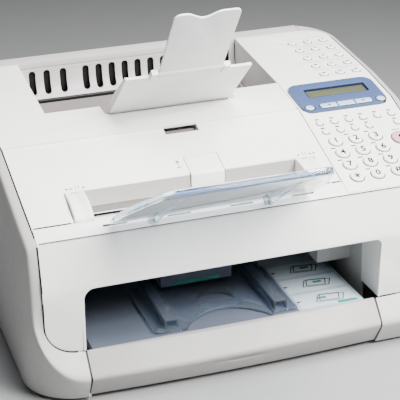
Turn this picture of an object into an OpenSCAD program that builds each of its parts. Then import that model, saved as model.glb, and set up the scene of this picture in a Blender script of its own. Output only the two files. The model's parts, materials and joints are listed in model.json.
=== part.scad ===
// Desktop laser fax machine. X runs to the right, Y to the back, Z up.
// The origin is on the table, below the middle of the machine with its document tray unfolded.

/* [Body] */
// Overall width over the side covers
body_w = 412; // [404:2:420]
// Height of the rear rim above the table
body_h = 228; // [226:0.5:230]
// Distance from the origin to the back face
rear_y = 216; // [214:1:220]
// Height of the step where the top turns down into the front
step_z = 160; // [158:0.5:161]
// Thickness of the outer covers
wall = 2.5; // [2:0.5:3]
// Gap between neighbouring covers
seam = 0.6; // [0.4:0.1:0.8]
// Height of the rubber feet
foot_h = 4; // [3:1:5]

/* [Front] */
// Left edge of the paper bay opening
bay_left = -155.5; // [-158:0.5:-154]
// Right edge of the paper bay opening
bay_right = 127; // [124:0.5:128]
// Height of the top of the paper bay opening
bay_top = 113; // [108:1:116]
// Height of the top of the cassette front
cassette_top = 50; // [50:0.5:51]
// How far the middle of the cassette front bows forward
bow = 4; // [3:0.5:5]

/* [Top] */
// Seam between the document feeder cover and the operation panel
panel_x = 96; // [95:0.5:97]
// Half distance between the seams of the two side covers
seam_x = 192; // [191:0.5:193]
// Middle of the document path
path_x = -33.5; // [-34:0.5:-32]
// Middle of the printed paper path
print_x = -19; // [-20:0.5:-18]
// middle of the output tray
support_x = -21.8; // [-23:0.2:-20]
// Left edge of the output recess
recess_left = -142; // [-143:0.5:-140]

/* [Trays] */
// Slope of the document tray above the horizontal, in degrees
doc_slope = 31; // [30:0.5:32]
// Length of the document tray along its slope
doc_len = 122; // [120:1:124]
// Slope of the output support tray, in degrees
support_slope = 39; // [38:1:41]
// Length of the output support tray
support_len = 94.5; // [93:0.5:96]
// Slope of the tray extension, in degrees
extension_slope = 50.5; // [49:0.5:52]
// Length of the tray extension
extension_len = 87; // [84:1:88]

/* [Keys] */
// Spacing of the number keys across the panel
key_pitch_x = 20.7; // [20:0.1:21]
// Spacing of the number keys along the panel
key_pitch_y = 17.4; // [17:0.1:18]
// Width of a number key
key_w = 13; // [12:0.5:13.5]
// Travel of every key
key_travel = 1.2; // [1:0.1:1.5]

/* [Hidden] */
NUMBER_KEYS = ["key_1", "key_2", "key_3", "key_4", "key_5", "key_6",
    "key_7", "key_8", "key_9", "key_star", "key_0", "key_hash"];

$fn = 48;
half_w = body_w / 2;
eps = 0.01;
run = 0.05;           // radial clearance of a running fit

// Side view of the outside: [y, z] along the top, front to back
step = [-102, step_z];
strip_top = [-85, 166.5];
adf_rear = [18, 203];
recess_front = [74, 212.5];
recess_rear = [198, body_h - 2.5];
base_front = [-104, foot_h];
ridge = [-120, 30];
bay_lintel = [-109, bay_top];
front_foot = [-102, cassette_top];
TOP = [step, strip_top, adf_rear, recess_front, recess_rear, [rear_y - 3, body_h]];

seam_r = 22;           // rear corners of the seam line, seen from above
rear_r = 34;           // rear corners of the body, seen from above
foot_r = 50;           // front corners of the footprint
front_r = 30;          // lower corners of the front cover
front_low = cassette_top + 1;
crease_x = 201.5;      // half width at the crease of the side covers
screw_x = 160;
screw_z = [26, 196];
wrap_x = 172;          // the side covers wrap the rear corners as far as this

function slope_between(a, b) = atan2(b[1] - a[1], b[0] - a[0]);
function top_z(y) = lookup(y, TOP);
function arc(c, r, a0, a1, n = 8) =
    [for (i = [0 : n]) c + r * [cos(a0 + (a1 - a0) * i / n), sin(a0 + (a1 - a0) * i / n)]];

adf_slope = slope_between(strip_top, adf_rear);
mid_slope = slope_between(adf_rear, recess_front);
rear_slope = slope_between(recess_front, recess_rear);

// Extrudes a [y, z] outline between two X positions
module along_x(x0, x1) translate([x0, 0, 0]) rotate([90, 0, 90]) linear_extrude(x1 - x0) children();
// Extrudes an [x, z] outline between two Y positions
module along_y(y0, y1) translate([0, y1, 0]) rotate([90, 0, 0]) linear_extrude(y1 - y0) children();
// A box from its low corner to its high corner
module span(a, b) translate(a) cube(b - a);
// A shaft along X
module shaft(x0, x1, y, z, r) translate([x0, y, z]) rotate([0, 90, 0]) cylinder(h = x1 - x0, r = r);
// Places its children on a sloping plane: X stays, Y runs up the slope, Z is the normal
module on_slope(p, angle) translate([0, p[0], p[1]]) rotate([angle, 0, 0]) children();
// The space within a seam distance below the top, between two Y positions
module under_top(x0, x1, y0, y1, t) {
    ys = concat([y0], [for (p = TOP) if (p[0] > y0 && p[0] < y1) p[0]], [y1]);
    n = len(ys) - 1;
    along_x(x0, x1) polygon(concat([for (y = ys) [y, top_z(y)]],
        [for (i = [n : -1 : 0]) [ys[i], top_z(ys[i]) - t]]));
}
// Rectangle with round corners, centred
module round_rect(w, d, r) {
    x = w / 2 - r;
    y = d / 2 - r;
    polygon(concat(arc([x, y], r, 0, 90), arc([-x, y], r, 90, 180),
        arc([-x, -y], r, 180, 270), arc([x, -y], r, 270, 360)));
}

// ---------- Outer covers ----------

// Plan of the seam inside the side covers, with round rear corners
module seam_plan(x, y) polygon(concat([[-x, -300], [x, -300]],
    arc([x - seam_r, y - seam_r], seam_r, 0, 90), arc([-x + seam_r, y - seam_r], seam_r, 90, 180)));
// Plan of the body's outside, with round rear corners
module outer_plan(d) polygon(concat([[-half_w + d, -300], [half_w - d, -300]],
    arc([half_w - rear_r, rear_y - rear_r], rear_r - d, 0, 90),
    arc([-half_w + rear_r, rear_y - rear_r], rear_r - d, 90, 180)));
// Footprint of the body: wide round front corners
module footprint(d) polygon(concat(
    arc([half_w - rear_r, rear_y - rear_r], rear_r - d, 0, 90),
    arc([-half_w + rear_r, rear_y - rear_r], rear_r - d, 90, 180),
    arc([-half_w + foot_r, base_front[0] + foot_r], foot_r - d, 180, 270),
    arc([half_w - foot_r, base_front[0] + foot_r], foot_r - d, 270, 360)));

// Left half of the body as one convex form: the top band, the crease that runs down the side
// and curves into the cassette ridge, and the wall that draws in to the footprint
module side_form(d, end_x) hull() {
    along_x(-seam_x - 1, -seam_x + 1) offset(delta = -d) polygon(concat(
        [[-100, 96], bay_lintel], TOP, [[rear_y, body_h - 5], [rear_y, foot_h], [-40, foot_h]]));
    along_x(-crease_x + d, -crease_x + d + 1) polygon(concat([[-106 + d, 92]],
        [for (p = TOP) p - [p == step ? 3 - d : 0, 3 + d]], [[rear_y - d, body_h - 9], [rear_y - d,
            foot_h + d],
        [-60, foot_h + d]]));
    along_x(-half_w + d, -half_w + d + 1) polygon([[-50, foot_h + d], [-84, 90], [-88, 128], [-76, 140],
        [16, 178], [72, 188], [rear_y - d, body_h - 32], [rear_y - d, foot_h + d]]);
    translate([0, 0, foot_h + d]) linear_extrude(1) intersection() {
        footprint(d);
        translate([-half_w, -200]) square([half_w + end_x, 400]);
    }
    along_x(-wrap_x - 1, -wrap_x + 1) offset(delta = -d) polygon([[rear_y - 20, foot_h],
        recess_rear, [rear_y - 3, body_h], [rear_y, body_h - 5], [rear_y, foot_h]]);
    for (i = [0 : 6]) let (a = 15 * i)
        translate([-157 - 44 * sin(a) + d, -120 + 14 * (1 - cos(a)) + d,
            30 + 62 * (1 - cos(a))]) cube(0.1);
    translate([end_x - 1, ridge[0] + d, ridge[1]]) cube([1, 1, 0.1]);
    translate([end_x - 1, -103 + d, cassette_top - 1 - d]) cube([1, 1, 0.1]);
}

// A side cover is a shell; it stops at the seams to the top, front and rear covers
module side_cover(end_x) difference() {
    intersection() {
        side_form(0, end_x);
        linear_extrude(300) outer_plan(0);
    }
    intersection() {
        side_form(wall, end_x + 10);
        translate([0, 0, wall]) linear_extrude(300) outer_plan(wall);
    }
    translate([0, 0, foot_h - 1]) linear_extrude(300) intersection() {
        seam_plan(seam_x + seam / 2, recess_rear[0] + seam);
        translate([-300, base_front[0] + 8]) square([600, 400]);
    }
    along_y(-130, base_front[0] + 9) front_outline(seam);
    translate([-wrap_x, recess_rear[0] - 10, 0]) cube([300, 100, 300]);
    translate([end_x, -200, 0]) cube([300, 300, 300]);
}

module side_cover_left() color("white") side_cover(bay_left - 1);
module side_cover_right() color("white") mirror([1, 0, 0]) side_cover(-bay_right + 1.8);

// Front view of the front cover, grown by a gap
module front_outline(gap) polygon(concat(
    [[seam_x - seam / 2 + gap, 300], [-seam_x + seam / 2 - gap, 300]],
    arc([-seam_x + front_r, front_low + front_r], front_r + gap, 180, 270),
    arc([seam_x - front_r, front_low + front_r], front_r + gap, 270, 360)));

return_y = -66;
module bay_outline(gap, low = front_low) polygon(concat([[bay_left - gap, low], [bay_right + gap, low]],
    arc([bay_right - 6, bay_top - 6], 6 + gap, 0, 90), arc([bay_left + 10, bay_top - 10], 10 + gap, 90,
        180)));

// Front panel with the paper bay opening, and the flat strip that holds the document tray
module front_cover() color("white") difference() {
    x = seam_x - seam / 2;
    union() {
        intersection() {
            along_x(-x, x) polygon([front_foot + [-1.2, 1], bay_lintel, step, strip_top - [seam, 0.2],
                strip_top - [seam, 0.2 + wall], step + [wall, -wall - 0.6],
                bay_lintel + [wall, 0], front_foot + [wall, 1]]);
            along_y(-130, -60) front_outline(0);
        }
        // return walls of the paper bay
        intersection() {
            along_y(-110, return_y) difference() {
                bay_outline(2);
                bay_outline(0);
            }
            along_x(bay_left - 3, bay_right + 3) polygon([front_foot + [-0.8, 0], bay_lintel + [0.4, 0],
                bay_lintel + [0.2, 3.5], [return_y, bay_top + 3.5], [return_y, front_foot[1]]]);
        }
        // lugs that hold the document tray's pins
        for (c = leg_x) for (s = [-1, 1]) along_x(c + s * 3.1 - 1.5, c + s * 3.1 + 1.5)
            polygon(concat([[tray_pin[0] + 2.4, 161], [tray_pin[0] - 2.4, 160.2]], arc(tray_pin, 2.4,
                180, 0)));
    }
    along_y(-130, -60) bay_outline(0, 0);
    for (i = [-1.5 : 1.5]) on_slope(step, slope_between(step, strip_top))
        translate([path_x + i * 58.3 - 11, 7.5, -6]) cube([22, 2.4, 8]);
    for (c = leg_x) shaft(c - 6, c + 6, tray_pin[0], tray_pin[1], tray_pin_r);
    // the operation panel runs down to the step
    span([panel_x - seam / 2, step[0] + 1, 140], [seam_x + 1, -60, 190]);
}

// Back wall with a louvre field and cut-outs for the sockets
module rear_cover() color("white") difference() {
    x = wrap_x - seam;
    along_x(-x, x) polygon([[rear_y, foot_h + 3], [rear_y - wall, foot_h + 3],
        [rear_y - wall, body_h - 8], recess_rear + [3.4, -2.9], recess_rear + [2.6, -5.9],
        recess_rear + [seam, -5.9], recess_rear + [seam, 0], [rear_y - 3, body_h], [rear_y, body_h - 5]]);
    for (i = [0 : 9]) span([60 + i * 9, rear_y - 8, 120], [64.5 + i * 9, rear_y + 1, 165]);
    span([-152, rear_y - 8, 30], [-120, rear_y + 1, 56]);
    span([118, rear_y - 8, 50], [150, rear_y + 1, 66]);
    for (s = [-1, 1]) for (z = screw_z) translate([s * screw_x, rear_y + 1, z]) rotate([90, 0, 0]) {
        cylinder(h = 10, r = 1.6);
        cylinder(h = 2.7, r = 3.5);
    }
}

// Top plate in front of and to the left of the output recess
module top_cover() color("white") {
    x0 = -seam_x + seam / 2;
    x1 = panel_x - seam / 2;
    y0 = adf_rear[0] + 2.3;
    notch_y = 55;
    difference() {
        under_top(x0, x1, y0, recess_front[0], wall);
        span([support_x - 66, notch_y, 150], [support_x + 66, recess_front[0] + 1, 240]);
    }
    intersection() {
        under_top(x0, recess_left, recess_front[0], recess_rear[0], wall);
        linear_extrude(300) seam_plan(seam_x - seam / 2, recess_rear[0]);
    }
    // walls round the recess
    difference() {
        span([recess_left, recess_front[0] - wall, 177], [x1, recess_front[0], 211]);
        span([support_x - 66, recess_front[0] - wall - 1, 198], [support_x + 66, recess_front[0] + 1,
            212]);
    }
    along_x(recess_left - 2, recess_left) polygon([[recess_front[0] - wall, 177], [recess_rear[0], 177],
        [recess_rear[0], recess_rear[1] - 1], [recess_front[0], recess_front[1] - 1],
        [recess_front[0] - wall, recess_front[1] - 2]]);
    // pocket for the output tray's hinge
    span([support_x - 67, notch_y - 2, 196], [support_x + 67, recess_front[0], 198]);
    span([support_x - 67, notch_y - 2, 196], [support_x + 67, notch_y, 208]);
    for (s = [-1, 1]) difference() {
        span([support_x + s * 65.5 - 1.5, notch_y - 2, 196], [support_x + s * 65.5 + 1.5, 74, 209]);
        shaft(support_x + s * 65.5 - 3, support_x + s * 65.5 + 3, support_pin[0], support_pin[1], pin_r);
    }
}

vent_slot = [7.2, 25];

// Sloping floor, and a guide wall that curves forward over the exit slot
module output_bin() color("gainsboro") {
    x0 = recess_left + 0.4;
    x1 = panel_x - 0.4;
    floor_z = 174;
    back = recess_rear[0] + 3;
    guide = [[back - 2, 219.2], [back - 2, 205], [back - 2.8, 199.5], [back - 5, 195],
        [back - 8.6, 191.2], [back - 13, 188], [back - 11.8, 186.4], [back - 7.2, 189.7], [back - 3.2, 194], [back - 0.8, 199],
        [back, 205], [back, 219.2]];
    along_x(x0, x1) polygon([[recess_front[0] + 0.4, floor_z - 2], [recess_front[0] + 0.4, floor_z],
        [145, floor_z], [188, floor_z + 10], [back, floor_z + 10], [back, floor_z + 8],
        [188.4, floor_z + 8], [145.4, floor_z - 2]]);
    difference() {
        along_x(x0, x1) polygon(guide);
        for (x = concat([-127.5, -112, -94.6], [for (i = [0 : 11]) -70.4 + 14.2 * i]))
            along_y(back - 20, back + 1) translate([x, 203.5]) 
                round_rect(vent_slot[0], vent_slot[1], 3.5);
    }
    // cheeks that join the wall to the floor
    for (x = [x0, x1 - 2]) along_x(x, x + 2) polygon([[back - 12, floor_z + 9], [back, floor_z + 9],
        [back, 205], [back - 2, 205], [back - 5, 195], [back - 12, 188]]);
}

// Four corner feet and one under the middle of the floor plate
FEET = [[-168, -30], [168, -30], [-168, 160], [168, 160], [0, 0]];

// Frame that everything is screwed to
module base_frame() color("lightgray") difference() {
    union() {
        intersection() {
            span([-seam_x + 1, -95, foot_h], [seam_x - 1, rear_y - 4, foot_h + 3]);
            translate([0, 0, foot_h]) linear_extrude(10) footprint(wall + 0.6);
            translate([0, 0, foot_h]) linear_extrude(10) {
                seam_plan(seam_x - 1, recess_rear[0]);
                translate([-wrap_x + 1, 0]) square([2 * wrap_x - 2, rear_y]);
            }
        }
        // side walls of the machine
        for (x = [-186, seam_x - 9]) span([x, -58, foot_h + 3], [x + 3, rear_y - 24, 147.4]);
        // walls and ceiling of the paper bay
        span([bay_left - 3, return_y + 1, foot_h + 3], [bay_left - 0.8, rear_y - 24, 147]);
        span([bay_right + 0.8, return_y + 1, foot_h + 3], [bay_right + 3, rear_y - 24, 147]);
        span([bay_left - 1, return_y + 1, bay_top + 0.6], [bay_right + 1, -40, bay_top + 2.6]);
        // bracket on the right wall of the paper bay
        span([93, -38, 63], [bay_right + 1, -12, bay_top + 1]);
        // cross members
        for (x = [-183, bay_right + 3]) span([x, 150, foot_h + 3],
            [x == -183 ? bay_left - 3 : seam_x - 9, 153, 60]);
    }
    for (p = ROLLERS) shaft(bay_right, bay_right + 4, p[0], p[1], p[2] + 1.5);
    for (p = FEET) translate([p[0], p[1], 0]) cylinder(h = foot_h + 4, r = 2);
}

module rubber_feet() color("dimgray")
    for (p = FEET) translate([p[0], p[1], 0]) {
        cylinder(h = foot_h, r = 9);
        cylinder(h = foot_h + 2.5, r = 1.95);
    }

module cover_screws() color("silver")
    for (s = [-1, 1]) for (z = screw_z) translate([s * screw_x, rear_y - 0.1, z]) rotate([90, 0, 0]) {
        difference() {
            cylinder(h = 1.5, r = 3.2);
            span([-2.2, -0.4, -1], [2.2, 0.4, 0.8]);
            span([-0.4, -2.2, -1], [0.4, 2.2, 0.8]);
        }
        translate([0, 0, 0.9]) cylinder(h = 8, r = 1.5);
    }

// ---------- Operation panel ----------

// Number keys start this far up the slope from the strip
key_first = [112.5, 2];
function key_pos(i) = [key_first[0] + key_pitch_x * (i % 3),
    key_first[1] + key_pitch_y * (3 - floor(i / 3))];
start_pos = [177, 21];
stop_pos = [177, 46.5];
function_pos = concat([for (i = [0 : 5]) [108 + 15.1 * i, 83.5]], [for (i = [0 : 3]) [108.9 + 15.1 * i,
    70]],
    [[184, 70]]);
one_touch_pos = [for (j = [0 : 4]) for (i = [0 : 2]) [149.5 + 17.9 * i, 6 + 21.6 * j]];
bezel_p = [8, top_z(8) + 0.6];
bezel_slope = slope_between([8, top_z(8) + 0.6], [62, top_z(62) + 0.4]);
bezel_len = 53;
cursor_y = 6.8;
round_key_x = [106.5, 182];
rocker_x = 144.8;
key_gap = 0.7;           // round the keys in the panel
bezel_x = 143.7;
bezel_w = 90.5;
window_pos = [145.7, 33.5];
window_size = [65.2, 17.2];

module operation_panel() color("white") difference() {
    union() {
        intersection() {
            under_top(panel_x + seam / 2, seam_x - seam / 2, step[0] + 1 + seam, recess_rear[0], wall);
            linear_extrude(300) seam_plan(seam_x - seam / 2, recess_rear[0]);
        }
        // wall down the right side of the recess
        along_x(panel_x + seam / 2, panel_x + seam / 2 + 2) polygon([[recess_front[0] - wall, 177],
            [recess_rear[0], 177], [recess_rear[0], recess_rear[1] - 1], [recess_front[0],
                recess_front[1] - 1],
            [recess_front[0] - wall, recess_front[1] - 2]]);
    }
    on_slope(strip_top, adf_slope) {
        for (i = [0 : 11]) translate([key_pos(i)[0], key_pos(i)[1], -8]) cylinder(h = 16,
            r = key_w / 2 + key_gap);
        for (p = [start_pos, stop_pos]) translate([p[0], p[1], -8]) cylinder(h = 16, r = 9 + key_gap);
        for (p = function_pos) translate([p[0], p[1], -8]) cylinder(h = 16, r = 3.5 + key_gap);
    }
    on_slope(recess_front, rear_slope)
        for (p = one_touch_pos) translate([p[0], p[1], -8]) cylinder(h = 16, r = 4.2 + key_gap);
    on_slope(bezel_p, bezel_slope) translate([bezel_x, bezel_len / 2, 0]) {
        translate([0, 0, -12]) linear_extrude(24) round_rect(bezel_w - 9, bezel_len - 5.2, 8);
        linear_extrude(12) round_rect(bezel_w + 1, bezel_len + 1, 11.5);
    }
    on_slope(bezel_p, bezel_slope) for (x = round_key_x) translate([x, cursor_y, -12]) cylinder(h = 24,
        r = 5.2);
}

module lcd_bezel() color("cornflowerblue") on_slope(bezel_p, bezel_slope) difference() {
    union() {
        translate([bezel_x, bezel_len / 2, 0.2]) linear_extrude(2.2) round_rect(bezel_w, bezel_len, 11);
        translate([bezel_x, bezel_len / 2, -4]) linear_extrude(5) round_rect(bezel_w - 10,
            bezel_len - 9, 7.5);
    }
    translate([window_pos[0], window_pos[1], -5]) linear_extrude(10) round_rect(window_size[0],
        window_size[1], 2);
    for (x = round_key_x) translate([x, cursor_y, -5]) cylinder(h = 10, r = 4.9);
    for (i = [-1 : 1]) translate([rocker_x + 18.6 * i, cursor_y, -5]) linear_extrude(10) round_rect(18,
        8.4, 3.9);
}

module lcd_window() color("darkolivegreen") on_slope(bezel_p, bezel_slope) {
    translate([window_pos[0], window_pos[1], -3.6]) linear_extrude(4.6) round_rect(window_size[0],
        window_size[1], 2);
}

module panel_key(r, h, drop = 4.4) {
    translate([0, 0, -drop]) cylinder(h = drop + h - 0.5, r = r);
    translate([0, 0, h - 0.5 - eps]) cylinder(h = 0.5, r1 = r, r2 = r - 0.5);
}

module number_key(i) color("white") on_slope(strip_top, adf_slope)
    translate([key_pos(i)[0], key_pos(i)[1], 0]) panel_key(key_w / 2, 2.2);

module big_key(p, tint) color(tint) on_slope(strip_top, adf_slope)
    translate([p[0], p[1], 0]) panel_key(9, 2.4);
module start_key() big_key(start_pos, "lightgreen");
module stop_key() big_key(stop_pos, "mistyrose");

module function_keys() color("white") on_slope(strip_top, adf_slope)
    for (p = function_pos) translate([p[0], p[1], 0]) panel_key(3.5, 1.8);

module one_touch_keys() color("white") on_slope(recess_front, rear_slope)
    for (p = one_touch_pos) translate([p[0], p[1], 0]) panel_key(4.2, 1.8);

module cursor_keys() color("paleturquoise") on_slope(bezel_p, bezel_slope) {
    for (x = round_key_x) translate([x, cursor_y, 0]) panel_key(4.5, 3.2, 5);
    for (i = [-1 : 1]) translate([rocker_x + 18.6 * i, cursor_y, -5]) linear_extrude(8.2)
        round_rect(17.2, 7.6, 3.5);
}

// ---------- Document feeder ----------

adf_axis = [17, 200.2];
barrel_r = 2.9;
adf_pin_r = 1.2;
adf_left = -seam_x + seam;
adf_right = panel_x - seam;
mouth_left = -155;
mouth_right = 84;
mouth_y = -47;
hinge_x = [-150, 54];
latch_x = [-36, -4];

module adf_cover() color("white") difference() {
    union() {
        under_top(adf_left, adf_right, strip_top[0] + seam, adf_axis[0], wall);
        shaft(adf_left, adf_right, adf_axis[0], adf_axis[1], barrel_r);
        // curtain behind the mouth, and the mouth's end walls
        along_x(mouth_left - 1, mouth_right + 1) polygon([[mouth_y, top_z(mouth_y) - 0.5], [mouth_y,
            163.4],
            [mouth_y + 1.2, 162.6], [mouth_y + 1.2, 154.4], [mouth_y + 3.4, 154.4],
            [mouth_y + 3.4, top_z(mouth_y)]]);
        for (x = [mouth_left - 2.2, mouth_right]) along_x(x, x + 2.2) polygon([[strip_top[0] + 1, 162],
            [strip_top[0] + 6, 154.4], [mouth_y + 3, 154.4], [mouth_y + 3, top_z(mouth_y) - 1],
            [strip_top[0] + 1, strip_top[1] - 1]]);
        // side skirts
        for (x = [adf_left, adf_right - 2]) along_x(x, x + 2) polygon([[strip_top[0] + 2, 165],
            [strip_top[0] + 2, 161], [adf_axis[0] - 4, 192], [adf_axis[0] - 4, 199]]);
    }
    span([mouth_left, strip_top[0] - 5, 150], [mouth_right, mouth_y - eps, 190]);
    span([latch_x[0] - 0.5, mouth_y - 1, 150], [latch_x[1] + 0.5, -24, 200]);
    // finger notch at the back
    span([-42, 8, 190], [-9, 30, 215]);
    for (x = hinge_x) {
        // room for the hinge ear, closed on top
        along_x(x - 6.3, x + 6.3) polygon(concat([[adf_axis[0] - 2.3, 190], [adf_axis[0] + 5, 190],
            adf_axis + [5, 1.48]], arc(adf_axis, 2.3, 40, 180)));
        shaft(x - 14, x + 14, adf_axis[0], adf_axis[1], adf_pin_r + run);
    }
}

module latch_button() color("white") {
    y0 = -48.5;
    y1 = -24.9;
    difference() {
        along_x(latch_x[0], latch_x[1]) polygon([[y0, 166], [y0, top_z(y0) - 1], [y0 + 1,
            top_z(y0) + 0.4],
            [y1, top_z(y1)], [y1, top_z(y1) - 6], [y0 + 5, 172], [y0 + 4.4, 166]]);
        for (i = [0 : 2]) on_slope([y0, top_z(y0)], adf_slope)
            translate([latch_x[0] + 5, 9 + 4.5 * i, -0.6]) cube([22, 2, 2]);
    }
}

// Lower paper path with ears for the cover's hinge
module feeder_base() color("whitesmoke") {
    drop = 19;
    difference() {
        union() {
            along_x(adf_left + 3, adf_right - 3) polygon([[-42.5, 160.8], [-42.5, 163.5],
                [adf_rear[0] - 1, adf_rear[1] - drop], [adf_rear[0] - 1, adf_rear[1] - drop - 3]]);
            for (x = hinge_x) {
                shaft(x - 5.8, x + 5.8, adf_axis[0], adf_axis[1], 1.9);
                span([x - 5.8, adf_axis[0] - 1.9, 181], [x + 5.8, adf_axis[0] + 1.9, adf_axis[1]]);
            }
        }
        for (x = hinge_x) shaft(x - 8, x + 8, adf_axis[0], adf_axis[1], adf_pin_r);
        span([path_x - 86, -40, 140], [path_x + 86, -22, 190]);
        span([path_x - 112, -6.5, 160], [path_x + 112, 6.5, 200]);
    }
    // flat floor under the document mouth
    span([adf_left + 3, strip_top[0] + 2, 147.6], [adf_right - 3, -41, 150.2]);
}

// Steel pins of the feeder cover, the document tray and the support tray
module hinge_pins() color("silver") {
    for (x = hinge_x) shaft(x - 12, x + 12, adf_axis[0], adf_axis[1], adf_pin_r);
    for (x = leg_x) shaft(x - 4.6, x + 4.6, tray_pin[0], tray_pin[1], tray_pin_r);
    shaft(support_x - 67, support_x + 67, support_pin[0], support_pin[1], pin_r);
}

module image_sensor() color("dimgray")
    on_slope([-5.4, 172.5], adf_slope) span([path_x - 111, 0, -9], [path_x + 111, 12, 2]);

module document_roller() color("dimgray") {
    shaft(path_x - 70, path_x + 70, doc_roller[0], doc_roller[1], doc_roller[2]);
    shaft(path_x - 84, path_x + 84, doc_roller[0], doc_roller[1], 2.5);
}

guide_w = 18;
module document_guide(x) color("white") along_x(x, x + guide_w) polygon(concat(
    [[strip_top[0] + 1.4, 163.5], [strip_top[0] + 5, 155.2], [mouth_y - 1, 155.2],
    [mouth_y - 0.6, 165], [mouth_y - 0.6, top_z(mouth_y) - 0.3]],
    [for (i = [0 : 6]) [mouth_y - 4 - 33 * sin(15 * i), 166.3 + 13 * cos(15 * i)]]));
module document_guide_left() document_guide(mouth_left + 0.8);
module document_guide_right() document_guide(mouth_right - 0.8 - guide_w);

// ---------- Document tray ----------

tray_pin = [-97.5, 164.3];
tray_pin_r = 1;
tray_half = 93;
tray_front = 63;
leg_x = [path_x - 53.5, path_x + 53.5];
tray_base = [-95.5, 163.6];

function tray_edge(s) = [for (i = [0 : 8]) let (t = i / 8)
    [s * (tray_half - 18 * t * t), 4 + (doc_len - 18) * t]];
function tray_corner(s) = [for (i = [1 : 6]) let (a = 15 * i)
    [s * (tray_front + 12 * cos(a)), doc_len - 14 + 14 * sin(a)]];

module tray_outline() polygon(concat(tray_edge(1), tray_corner(1),
    [for (i = [5 : -1 : 0]) tray_corner(-1)[i]], [for (i = [8 : -1 : 0]) tray_edge(-1)[i]]));

module document_tray() color("lightskyblue") {
    t = 2;
    difference() {
        union() {
            // dished plate: in this frame Y runs forward and up
            translate([path_x, tray_base[0], tray_base[1]]) rotate([-doc_slope, 0, 0]) mirror([0, 1, 0]) {
                difference() {
                    linear_extrude(6) tray_outline();
                    translate([0, -3, t]) linear_extrude(8) scale([0.965, 0.975]) tray_outline();
                }
            }
            for (x = leg_x) {
                up = [sin(doc_slope), cos(doc_slope)];
                along_x(x - 1.25, x + 1.25) polygon([tray_base + up, tray_pin + [2, -0.4],
                    tray_pin + [0, -2], tray_pin + [-4, -2.8],
                    tray_base + 0.86 * doc_len * [-cos(doc_slope), sin(doc_slope)] + up]);
                shaft(x - 1.25, x + 1.25, tray_pin[0], tray_pin[1], 2.1);
            }
        }
        for (x = leg_x) {
            shaft(x - 4, x + 4, tray_pin[0], tray_pin[1], tray_pin_r + run);
            for (s = [-1, 1]) shaft(x + s * 3.4 - 2.1, x + s * 3.4 + 2.1, tray_pin[0], tray_pin[1], 2.8);
        }
    }
}

// ---------- Output trays ----------

pin_r = 1.5;
support_pin = [62, 207];
support_half = 60.5;
extension_half = 30.5;
support_end = support_pin + support_len * [-cos(support_slope), sin(support_slope)];

module support_tray() color("white") difference() {
    union() {
        shaft(support_x - support_half, support_x + support_half, support_pin[0], support_pin[1], 3.2);
        // in this frame Y runs up the plate
        translate([support_x, support_pin[0], support_pin[1]]) rotate([180 - support_slope, 0, 0]) {
            span([-support_half, 0, -1.2], [support_half, support_len - 5, 1.2]);
            for (s = [-1, 1]) translate([s * (support_half - 1.6), 0, 0]) along_x(-1.2, 1.2)
                polygon([[5, 0], [5, -11], [support_len - 9, -3], [support_len - 9, 0]]);
            for (s = [-1, 1]) span([s * (extension_half + 4) - 3, support_len - 12, -2.6],
                [s * (extension_half + 4) + 3, support_len + 2.8, 2.6]);
            shaft(-extension_half - 2, extension_half + 2, support_len, 0, pin_r);
        }
    }
    shaft(support_x - 70, support_x + 70, support_pin[0], support_pin[1], pin_r + run);
}

function finger_dip(x) = 3.65 * (1 + cos(180 * max(-1, min(1, (x + 3) / 17))));
module tray_extension() color("white")
    translate([support_x, support_end[0], support_end[1]]) rotate([180 - extension_slope, 0,
        0]) difference() {
        union() {
            shaft(-extension_half, extension_half, 0, 0, 2.8);
            translate([0, 0, -1]) linear_extrude(2)
                polygon(concat([[-extension_half, 0], [extension_half, 0]],
                    arc([extension_half - 5, extension_len - 5], 5, 0, 90),
                    [for (x = [20 : -1 : -20]) [x, extension_len - finger_dip(x)]],
                    arc([-extension_half + 7, extension_len - 7], 7, 90, 180)));
        }
        shaft(-extension_half - 1, extension_half + 1, 0, 0, pin_r + run);
    }

// ---------- Paper cassette ----------

cas_x0 = -149;
cas_x1 = 118;
cas_y1 = 196;
cas_floor = 9;

module cassette() color("slategray") difference() {
    span([cas_x0, -100.2, cas_floor], [cas_x1, cas_y1, 44]);
    span([cas_x0 + 2.5, -97, cas_floor + 2.5], [cas_x1 - 2.5, cas_y1 - 2.5, 60]);
}

module cassette_front() color("lightgray") {
    x0 = bay_left - 0.6;
    x1 = bay_right - 2.4;
    mid = (x0 + x1) / 2;
    half = (x1 - x0) / 2;
    n = 10;
    difference() {
        union() for (i = [0 : n - 1]) {
            xa = x0 + (x1 - x0) * i / n;
            xb = x0 + (x1 - x0) * (i + 1) / n;
            b = bow * (1 - pow((abs((xa + xb) / 2 - mid)) / half, 2));
            along_x(xa, xb) polygon([base_front + [-b, 2], ridge + [-b, 0], front_foot + [-b, -0.6],
                [-100.2, cassette_top - 0.6], [-100.2, foot_h + 2]]);
        }
        // finger groove under the ridge
        span([mid - 30, -122, 16], [mid + 30, -112, 23]);
    }
}

module cassette_lid() color("darkslategray")
    span([cas_x0 + 1, -99.5, 44.2], [cas_x1 - 1, 30, 46]);

// Channel-shaped guide on a flat foot; s is the side of the sheet that it stands on
guide_gap = 46.5;
module paper_guide(s) color("aliceblue") {
    inner = print_x + s * guide_gap;
    outer = inner + s * 24;
    foot = inner + s * 13;
    span([min(inner, outer), -92, 47.2], [max(inner, outer), 4, 48.8]);
    span([min(inner, inner + s * 1.8), -90, 48], [max(inner, inner + s * 1.8), 4, 58]);
    span([min(foot, foot - s * 1.8), -90, 48], [max(foot, foot - s * 1.8), 4, 58]);
    span([min(inner, foot), -90, 56.4], [max(inner, foot), 4, 58]);
}
module paper_guide_left() paper_guide(-1);
module paper_guide_right() paper_guide(1);

module instruction_label() color("lightcyan") span([51, -96, 46], [cas_x1 - 1.5, 20, 46.4]);

// ---------- Print engine ----------

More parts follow.
